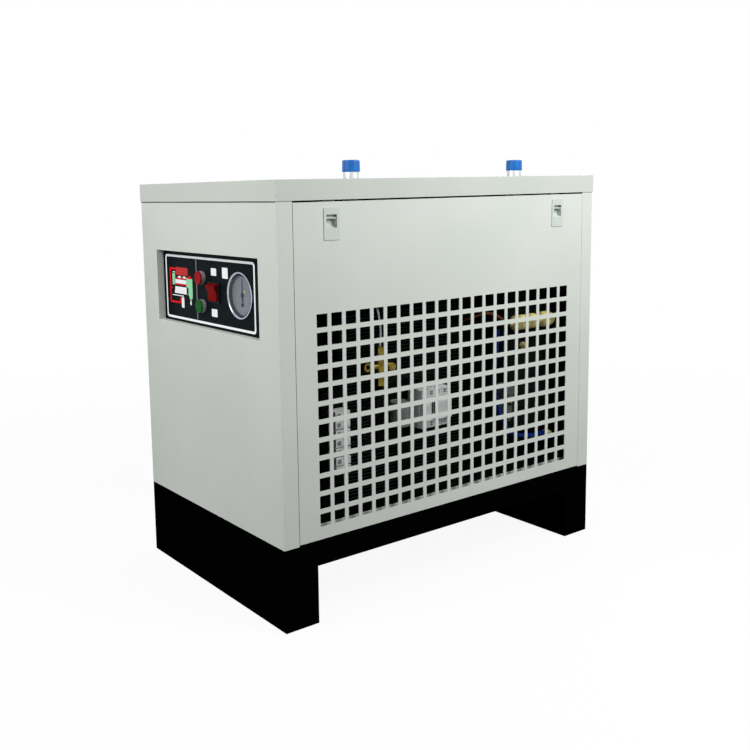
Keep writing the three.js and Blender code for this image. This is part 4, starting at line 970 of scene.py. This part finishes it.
def finish_compressor():
    """Hermetic shell in two halves with a weld bead, a cradle, bolts and rubber mounts."""
    low, high, centre = place("compressor")
    foot = low.z
    seam = foot + (high.z - foot) * 0.56
    shoulder = high.z - DOME_HEIGHT
    profile = [(0, foot + 0.4), (62, foot + 0.4), (72, foot + 3), (80, foot + 11), (84, foot + 24),
               (84.2, seam - 6), (SHELL_RADIUS, seam - 3), (SHELL_RADIUS, seam + 3), (84, seam + 5),
               (DOME_RADIUS, shoulder)]
    for i in range(1, 14):
        angle = radians(90 * i / 14)
        profile.append((DOME_RADIUS * cos(angle), shoulder + DOME_HEIGHT * sin(angle)))
    Shape().turned(profile + [(0, high.z)], (centre.x, centre.y, 0), Z, 96).save(
        "compressor_shell", "enamel", "compressor")

    cradle, bolts = Shape(), Shape()
    for sx, sy in CORNERS:
        x, y = centre.x + sx * BOLT_X, centre.y + sy * BOLT_Y
        inner, outer = x - sx * 42, x + sx * 16
        cradle.block((min(inner, outer), y - 15, foot), (max(inner, outer), y + 15, foot + 4), 1.6, 3)
        at = (x, y, foot + 4)
        bolts.turned([(0, 0), (9, 0), (9, 1.4), (0, 1.4)], at, Z, 32)
        bolts.prism(6.4, 1.4, 6.6, at, Z, 0.7)
        bolts.turned([(0, 6.4), (3.8, 6.4), (3.4, 12), (0, 12.4)], at, Z, 20)
    cradle.save("compressor_cradle", "enamel")
    bolts.save("compressor_bolts", "steel")

    for index in range(1, 5):
        node = f"compressor_mount_{index}"
        bottom, top, at = place(node)
        height = top.z - bottom.z
        Shape().turned([(0, 0), (15.4, 0), (16, 0.6), (16, 5.2), (14.2, 6.6), (12, 9), (10.8, height * 0.6),
                        (12, height - 2), (11.6, height), (0, height)], (at.x, at.y, bottom.z), Z, 48).save(
            f"{node}_rubber", "rubber", node)


FIN_COUNT, FIN_HALF = 96, 0.16
TUBE_ROWS = 12
RUNG_PITCH = 6.2


def finish_condenser():
    """Fins between two side plates, with rows of tubes through them and level rungs in front."""
    low, high = span("condenser_coil")
    edge = low.x + 40
    fins = Shape()
    pitch = (high.y - low.y - 6) / FIN_COUNT
    for i in range(FIN_COUNT + 1):
        y = low.y + 3 + i * pitch
        fins.block((low.x + 0.5, y - FIN_HALF, low.z + 3), (edge, y + FIN_HALF, high.z - 7), 0.02, 1)
    fins.save("condenser_fins", "fins", "condenser_coil")

    casing = Shape()
    for y0, y1 in ((low.y, low.y + 2), (high.y - 2, high.y)):
        casing.block((low.x, y0, low.z), (high.x, y1, high.z), 0.7)
    for z in (low.z + 1, high.z - 6.5):
        casing.block((low.x, low.y + 1, z), (high.x, high.y - 1, z + 1.5), 0.6)
    casing.save("condenser_frame", "bracket", slot="fins")

    tubes = Shape()
    step = (high.z - low.z - 46) / (TUBE_ROWS - 1)
    for row in range(TUBE_ROWS):
        z = low.z + 20 + row * step
        for x in (low.x + 10, low.x + 30):
            tubes.sweep([(x, low.y + 1.5, z), (x, high.y - 1.5, z)], 4, 12, 0)
    tubes.save("condenser_tubes", "copper")

    rungs = Shape()
    z = low.z + 12
    while z < high.z - 10:
        rungs.block((edge + 0.6, low.y + 2, z), (edge + 1.8, high.y - 2, z + 1.1), 0.3, 1)
        z += RUNG_PITCH
    rungs.save("condenser_guard_rungs", "rungs")


MOTOR_RADIUS, MOTOR_LENGTH = 42, 62
HUB_RADIUS, BLADE_TIP = 26, 113
BLADES = 5
BLADE_POINTS = 9        # along and across a blade
BLADE_HALF = 0.9        # half its thickness


def finish_motor(axis):
    low, high = span("fan_motor")
    radius = MOTOR_RADIUS
    can_end = low.x + MOTOR_LENGTH
    profile = [(0, low.x), (radius - 9, low.x), (radius - 3, low.x + 1.6), (radius - 0.6, low.x + 5)]
    for i in range(6):
        x = low.x + 11 + i * 7.6
        profile += [(radius - 0.4, x), (radius, x + 1), (radius, x + 3.2), (radius - 1.8, x + 4.2),
                    (radius - 1.8, x + 6.2)]
    profile += [(radius - 2, can_end - 2.4), (radius - 6, can_end - 0.4), (12, can_end), (7, can_end + 1),
                (4, can_end + 1), (4, high.x), (0, high.x)]
    motor = Shape()
    motor.turned(profile, axis, X, 80)
    arm = can_end - 17
    for quarter in range(4):
        angle = radians(45 + 90 * quarter)
        out = Vector((0, cos(angle), sin(angle)))
        points = [Vector(axis) + out * reach + X * x
                  for reach, x in ((36, arm), (112, arm), (127, arm + 5), (129, arm + 18), (129, high.x - 6))]
        motor.sweep(points, 3, 14, 6)
    motor.save("fan_motor_body", "enamel", "fan_motor")


def blade_point(r, c, base, offset, axis, low, centre, high):
    """Point r out along a blade and c across it, on the face at offset from its middle."""
    out, across = r / (BLADE_POINTS - 1), c / (BLADE_POINTS - 1)
    reach = HUB_RADIUS + (BLADE_TIP - HUB_RADIUS) * out
    pitch = radians(48 - 22 * out)
    chord = 15 + 23 * sin(pi * min(1, 0.25 + 0.62 * out))
    s = (across - 0.5) * chord
    camber = 2.4 * (1 - (2 * across - 1) ** 2)
    swept = base + (s * cos(pitch)) / max(reach, 30) + 0.12 * out
    x = centre.x + s * sin(pitch) * 0.8 + camber + offset
    x = min(max(x, low.x + 0.4), high.x - 0.4)
    return x, axis[1] + reach * cos(swept), axis[2] + reach * sin(swept)


def finish_impeller(axis):
    low, high, centre = place("fan_impeller")
    fan = Shape()
    hub = [(4.7, -12), (27, -12), (30, -10), (30, 8), (26, 11.6), (12, 12), (4.7, 12), (4.7, -12)]
    fan.turned([(radius, centre.x + x) for radius, x in hub], axis, X, 64)
    steps = range(BLADE_POINTS)
    last = BLADE_POINTS - 1
    rim = [(0, c) for c in steps] + [(r, last) for r in steps[1:]]
    rim += [(last, c) for c in steps[-2::-1]] + [(r, 0) for r in steps[-2:0:-1]]
    for number in range(BLADES):
        base = 2 * pi * number / BLADES
        front, rear = ([[fan.bm.verts.new(blade_point(r, c, base, offset, axis, low, centre, high))
                         for c in steps] for r in steps] for offset in (-BLADE_HALF, BLADE_HALF))
        for r in steps[:-1]:
            for c in steps[:-1]:
                fan.bm.faces.new((front[r][c], front[r][c + 1], front[r + 1][c + 1], front[r + 1][c]))
                fan.bm.faces.new((rear[r][c], rear[r + 1][c], rear[r + 1][c + 1], rear[r][c + 1]))
        for (r0, c0), (r1, c1) in zip(rim, rim[1:] + rim[:1]):
            fan.bm.faces.new((front[r0][c0], rear[r0][c0], rear[r1][c1], front[r1][c1]))
    fan.save("fan_blades", "black", "fan_impeller", body="fan", crease=50)


def finish_fan():
    """Shroud with a rolled inlet ring, ribbed motor on four arms, and a bladed impeller."""
    Shape("fan_shroud").soften(0.6, 2, 35).save("fan_shroud_sheet", "bracket", "fan_shroud")
    spin = Vector(next(j for j in frame["joints"] if j["name"] == "fan_spin")["pos_m"]) / MM
    axis = (0, spin.y, spin.z)
    finish_motor(axis)
    finish_impeller(axis)


SEPARATOR_RADIUS = 45.0
SEPARATOR_PORT = 400        # height of the port to the exchanger
FITTING_AT = (230, 382)     # test fitting on the exchanger, in Y and Z


def finish_vessels():
    """Foam-jacketed plate heat exchanger on legs, and a round separator, with ties round both."""
    low, high = span("heat_exchanger")
    jacket_low = Vector((low.x, low.y + 10, low.z + 82.2))
    jacket_high = Vector((high.x, high.y, high.z - 11.7))
    Shape().block(jacket_low, jacket_high, 8.5, 6).save("heat_exchanger_jacket", "foam", "heat_exchanger")

    part = Shape()
    for x in (low.x + 14, high.x - 14):
        for y in (jacket_low.y + 14, high.y - 14):
            part.block((x - 7, y - 7, low.z), (x + 7, y + 7, jacket_low.z + 4), 1.2)
    part.save("heat_exchanger_legs", "bracket")

    pipe = middle("outlet_cap")
    part = Shape()
    part.turned([(0, -14), (17, -14), (COLLAR, -13), (COLLAR, -0.6), (17, 0), (0, 0)],
                (pipe.x, pipe.y, high.z), Z, 48)
    part.turned([(0, 0), (17, 0), (COLLAR, 1), (COLLAR, 12), (0, 12)],
                (pipe.x, low.y, span("inlet_pipe")[0].z + 20), Y, 48)
    part.save("heat_exchanger_bosses", "zinc")

    tank_low, tank_high = span("separator")
    radius = SEPARATOR_RADIUS
    at = (tank_low.x + radius, (tank_low.y + tank_high.y) / 2)
    profile = [(0, tank_low.z), (radius - 4, tank_low.z), (radius, tank_low.z + 8), (radius, tank_high.z - 22)]
    for i in range(1, 8):
        angle = radians(90 * i / 8)
        profile.append((radius * cos(angle), tank_high.z - 20 + 20 * sin(angle)))
    bridge = tank_high.x - at[0] - radius + 7.4
    part = Shape()
    part.turned(profile + [(0, tank_high.z)], (*at, 0), Z, 80)
    part.turned([(0, 0), (13.6, 0), (14, 1), (14, bridge), (0, bridge)],
                (at[0] + radius - 8, at[1], SEPARATOR_PORT), X, 40)
    part.save("separator_jacket", "foam", "separator")

    part = Shape()
    for z in (190, 300, 420):
        part.turned([(radius - 0.6, -2.4), (radius - 0.05, -2), (radius - 0.05, 2), (radius - 0.6, 2.4),
                     (radius - 0.6, -2.4)], (*at, z), Z, 96)
    for z in (262, 366, 520):
        for y in (jacket_low.y - 0.3, jacket_high.y - 0.7):
            part.block((jacket_low.x + 8, y, z), (jacket_high.x - 8, y + 1, z + 4.5), 0.3)
        for x in (jacket_low.x - 0.3, jacket_high.x - 0.7):
            part.block((x, jacket_low.y + 8, z), (x + 1, jacket_high.y - 8, z + 4.5), 0.3)
    part.save("jacket_ties", "black")

    part = Shape()
    at = (high.x - 1, *FITTING_AT)
    part.prism(6.4, 0, 6, at, X)
    part.turned([(0, 5), (4.4, 5), (4.4, 11), (3.4, 12), (0, 12)], at, X, 24)
    part.save("heat_exchanger_test_fitting", "pale_brass")


def finish_drain():
    """Automatic drain: square head, ringed bowl, and a port with a brass test screw."""
    low, high, centre = place("auto_drain")
    part = Shape()
    part.block((low.x, low.y, high.z - 20), high, 2, 3)
    part.block((centre.x - 11, centre.y - 11, high.z - 32), (centre.x + 11, centre.y + 11, high.z - 19.4),
               1.6, 3)
    bowl = [(radius, low.z + z) for radius, z in (
        (0, 0), (3.6, 0), (4, 0.6), (4, 8), (7, 9), (9.4, 11), (12, 15.5), (13, 19), (13, 26), (12.2, 27),
        (12.2, 29), (13, 30))]
    bowl += [(radius, high.z - z) for radius, z in (
        (13, 38), (12.2, 37), (12.2, 35), (13, 34), (13, 31.4), (0, 31.4))]
    part.turned(bowl, (centre.x, centre.y, 0), Z, 56)
    part.save("auto_drain_moulding", "drain", "auto_drain")
    at = (centre.x, centre.y + 1, low.z + 48)
    Shape().turned([(0, 12), (6.4, 12), (6.4, 13.8), (5.8, 14), (0, 14)], at, X, 32).save(
        "auto_drain_port", "black")
    Shape().turned([(0, 13.6), (2.6, 13.6), (2.2, 14.6), (0, 14.8)], at, X, 24).save(
        "auto_drain_test_screw", "brass")


def finish_drier_and_valve():
    """Filter drier with spun ends and a round end fitting, and the hot-gas bypass valve."""
    low, high, centre = place("filter_drier")
    Shape().turned([(0, 0), (3.2, 0), (3.6, 0.5), (3.6, 4.6), (6, 5.6), (8.4, 8.2), (12.2, 11.2), (13.6, 13),
                    (14, 15.4), (14, 64), (13.4, 67.4), (12, 70.4), (8.4, 72.2), (7, 73.4), (7, 82), (9.4, 83),
                    (12.4, 85.4), (14.2, 88.6), (15, 93.4), (15, 98), (14.4, 103), (12.8, 108.6), (10.2, 113.4),
                    (6.4, 116.8), (2.6, 117.9), (0, 118)], (centre.x, low.y, centre.z), Y, 64).save(
        "filter_drier_shell", "pale_brass", "filter_drier")

    low, high, centre = place("bypass_valve")
    x, y, z = at = (centre.x, high.y - 32, low.z + 34)
    valve = Shape()
    valve.turned([(0, -29), (7, -29), (7, -12), (8.4, -9), (8.4, 9), (7, 12), (7, 33), (0, 33)], at, Z, 40)
    valve.prism(9, -34, -20, at, Z, 1)
    valve.prism(9, 21, 34, at, Z, 1)
    valve.turned([(0, -25), (4.6, -25), (5, -24), (5, 19), (0, 19)], at, Y, 32)
    valve.turned([(3.8, -6), (7.8, -6), (8.6, -5), (8.6, 5), (7.8, 6), (3.8, 6), (3.8, -6)],
                 (x, y - 31, z + 2), X, 48)
    valve.turned([(0, -6), (7.2, -6), (8, -5), (8, 4.4), (6.4, 6), (0, 6)], (x, y + 24, z - 4), X, 40)
    valve.save("bypass_valve_body", "brass", "bypass_valve")


SHELL_AT = (-95, -190)      # the compressor's axis, where its tubes start and end
HOSE_CORNER = (200, 193, 217)   # where the hose's riser joins its run
ROUTES = (  # node, finish, slot, radius, points
    ("discharge_tube", "copper", "copper", 4.5,
     [(*SHELL_AT, 353), (*SHELL_AT, 400), (-60, -175, 500), (30, -140, 545), (100, -95, 545), (120, -80, 518),
      (120, -80, 481)]),
    ("suction_tube", "rubber", "copper", 6,
     [(112, 212, 218.4), (112, 212, 206), (110, 196, 180), (84, 166, 170), (24, 132, 168), (-70, 30, 176),
      (-95, -60, 200), (-95, -104, 200)]),
    ("liquid_tube", "copper", "copper", 3.2,
     [(140.6, 92, 440), (150, 92, 440.5), (166, 99, 447), (184, 124, 454), (197, 147, 442), (199, 158, 432),
      (199, 163.6, 432)]),
    ("drain_tube", "hose", "blue_tube", 4,
     [(198, 133, 424), (198, 130, 385), (197, 124, 340), (197, 128, 308), (198, 134, 284), (199, 146, 255),
      (200, 168, 227), HOSE_CORNER, (199, 229, 211), (194, 262, 209), (186, 292, 202), (180, 314, 185),
      (180, 325.4, 185)]),
)


def finish_tubes():
    """Copper refrigerant lines and the blue condensate hose, on the same routes as their nodes."""
    for node, finish, slot, radius, points in ROUTES:
        tube = Shape()
        tube.sweep(points, radius, 16, 7)
        if node == "drain_tube":
            tube.sweep([(186, 168, 235.6), (186, 168, 229), (191, 180, 219), HOSE_CORNER], 3.4, 16, 7)
        tube.save(f"{node}_line", finish, node, slot=slot)

    Shape().sweep([(191, 275, 206.6), (186.2, 292, 202)], 6.2, 20, 4).save("drain_tube_nut", "pale_brass")
    Shape().sweep([(170, -122, 419), (170, -121, 450), (166, -124, 485), (150, -118, 514), (124, -90, 524)],
                  2.6, 14, 7).save("bypass_line", "steel")


finish_compressor()
finish_condenser()
finish_fan()
finish_vessels()
finish_drain()
finish_drier_and_valve()
finish_tubes()


# ---- electrical works

POLE_PITCH = 16.2
TERMINALS = 7


def finish_contactor():
    """Contactor with terminal rows, cavities and a dark actuator window."""
    low, high = span("contactor")
    mid = low.x + 36
    poles = [low.y + i * POLE_PITCH for i in range(4)]
    body, cavities, screws = Shape(), Shape(), Shape()
    body.block(low, (mid - 6, high.y, high.z), 1.4, 3)
    for z0, z1 in ((low.z, low.z + 15), (high.z - 15, high.z)):
        for y in poles:
            body.block((mid - 6.4, y + 1, z0 + 0.6), (mid, y + 16.2, z1 - 0.6), 0.9, 2)
    body.block((mid - 6.4, low.y + 2, low.z + 15), (high.x, low.y + 16, high.z - 15), 1.6, 3)
    body.block((mid - 6.4, low.y + 32, low.z + 15), (high.x, high.y - 2, high.z - 15), 1.6, 3)
    body.block((mid - 6.4, low.y + 15, low.z + 15), (high.x - 6, low.y + 33, high.z - 15), 0.8, 2)
    body.save("contactor_moulding", "white", "contactor")
    for y in (low.y + 17.5, low.y + 25):
        cavities.block((high.x - 6.4, y, low.z + 17), (high.x - 4.6, y + 5.5, high.z - 17), 0.5)
    for z in (low.z + 7.5, high.z - 7.5):
        for y in poles:
            cavities.block((mid - 1, y + 4.6, z - 3.6), (mid + 0.3, y + 11.6, z + 3.6), 0.4)
            screws.screw((mid + 0.2, y + 8.1, z), X, 2.8, 1.4)
    cavities.save("contactor_cavities", "black")
    screws.save("contactor_screws", "steel")


def finish_capacitor_and_terminals():
    """Capacitor can with a rolled rim, and a terminal block with seven ways."""
    low, high, centre = place("run_capacitor")
    radius, height = (high.x - low.x) / 2, high.z - low.z
    can = Shape()
    can.turned([(0, 0), (radius - 2, 0), (radius, 2), (radius, height - 4), (radius - 0.6, height - 2.4),
                (radius, height - 1.2), (radius - 1.4, height - 0.4), (radius - 3, height - 1.8), (6, height - 1.8),
                (5, height - 0.4), (0, height - 0.2)], (centre.x, centre.y, low.z), Z, 64)
    can.save("run_capacitor_can", "grey", "run_capacitor")

    low, high = span("terminal_block")
    pitch = (high.z - low.z) / TERMINALS
    body, screws, cavities = Shape(), Shape(), Shape()
    body.block(low, (low.x + 13, high.y, high.z), 1, 2)
    for i in range(TERMINALS):
        z0, z1 = low.z + i * pitch + 1, low.z + (i + 1) * pitch - 1.0
        body.block((low.x + 12, low.y, z0), (high.x - 0.2, high.y, z1), 1.1, 2)
        cavities.block((high.x - 1.2, low.y + 3, z0 + 3), (high.x - 0.02, low.y + 11, z1 - 3), 0.4)
        screws.screw((high.x - 1.5, high.y - 9, (z0 + z1) / 2), X, 3.2, 1.4)
    body.save("terminal_block_moulding", "white", "terminal_block")
    cavities.save("terminal_block_cavities", "grey")
    screws.save("terminal_block_screws", "steel")


def add_wires():
    """Internal wiring from the terminal block to the contactor."""
    block_low, block_high = span("terminal_block")
    contactor_y = span("contactor")[0].y
    face = block_low.x + 20
    wires = Shape()
    for i in range(5):
        z = block_low.z + 16 + 19 * i
        end_y = contactor_y + 8 + 15.2 * (i % 4)
        wires.sweep([(face - 8, block_high.y - 2, z), (face - 6, block_high.y + 14, z - 6),
                     (face - 4, -150 + 5 * i, z + 18), (face + 6, -108, 352 + 3 * i),
                     (face + 12, end_y - 14, 356 + 3 * i), (face + 6, end_y, 342)], 1.5, 8, 6)
    wires.save("wiring_dark", "rubber", slot="black_plastic")


finish_contactor()
finish_capacitor_and_terminals()
add_wires()


# ---- rear fittings

GLAND_BORE, DRAIN_BORE = 4.6, 4.1


def add_nut(part, y0, y1, radius, chamfer, at):
    """A hexagon nut round a fitting that faces the rear."""
    part.turned([(8.2, y0), (radius - chamfer, y0), (radius, y0 + chamfer), (radius, y1 - chamfer),
                 (radius - chamfer, y1), (8.2, y1), (8.2, y0)], at, Y, 6)


def finish_rear_fittings():
    """Cable gland with a slotted dome nut, and the threaded condensate outlet."""
    low, high, centre = place("cable_gland")
    at = (centre.x, 0, centre.z)
    gland = Shape()
    gland.turned([(GLAND_BORE, low.y), (8, low.y), (8, high.y - 17), (10, high.y - 16), (10, high.y - 11),
                  (9.8, high.y - 5), (8.2, high.y - 0.6), (6.4, high.y), (GLAND_BORE, high.y - 0.4),
                  (GLAND_BORE, low.y)], at, Y, 84, ribs(14, 0.05, 4, 5))
    add_nut(gland, high.y - 16.7, high.y - 10, 12, 0.8, at)
    add_nut(gland, low.y + 2, low.y + 7.7, 11.5, 0.8, at)
    gland.save("cable_gland_moulding", "black", "cable_gland")

    low, high, centre = place("drain_outlet")
    at = (centre.x, 0, centre.z)
    profile = [(DRAIN_BORE, low.y), (8, low.y), (8, high.y - 18), (6.3, high.y - 16)]
    for i in range(5):
        y = high.y - 14 + i * 2.6
        profile += [(6.5, y), (5.6, y + 1.8)]
    profile += [(5.2, high.y - 0.2), (DRAIN_BORE, high.y), (DRAIN_BORE, low.y)]
    outlet = Shape()
    outlet.turned(profile, at, Y, 48)
    add_nut(outlet, high.y - 17.7, high.y - 12, 11.5, 0.7, at)
    add_nut(outlet, low.y + 7, low.y + 11.7, 11.5, 0.7, at)
    outlet.save("drain_outlet_fitting", "brass", "drain_outlet")


finish_rear_fittings()
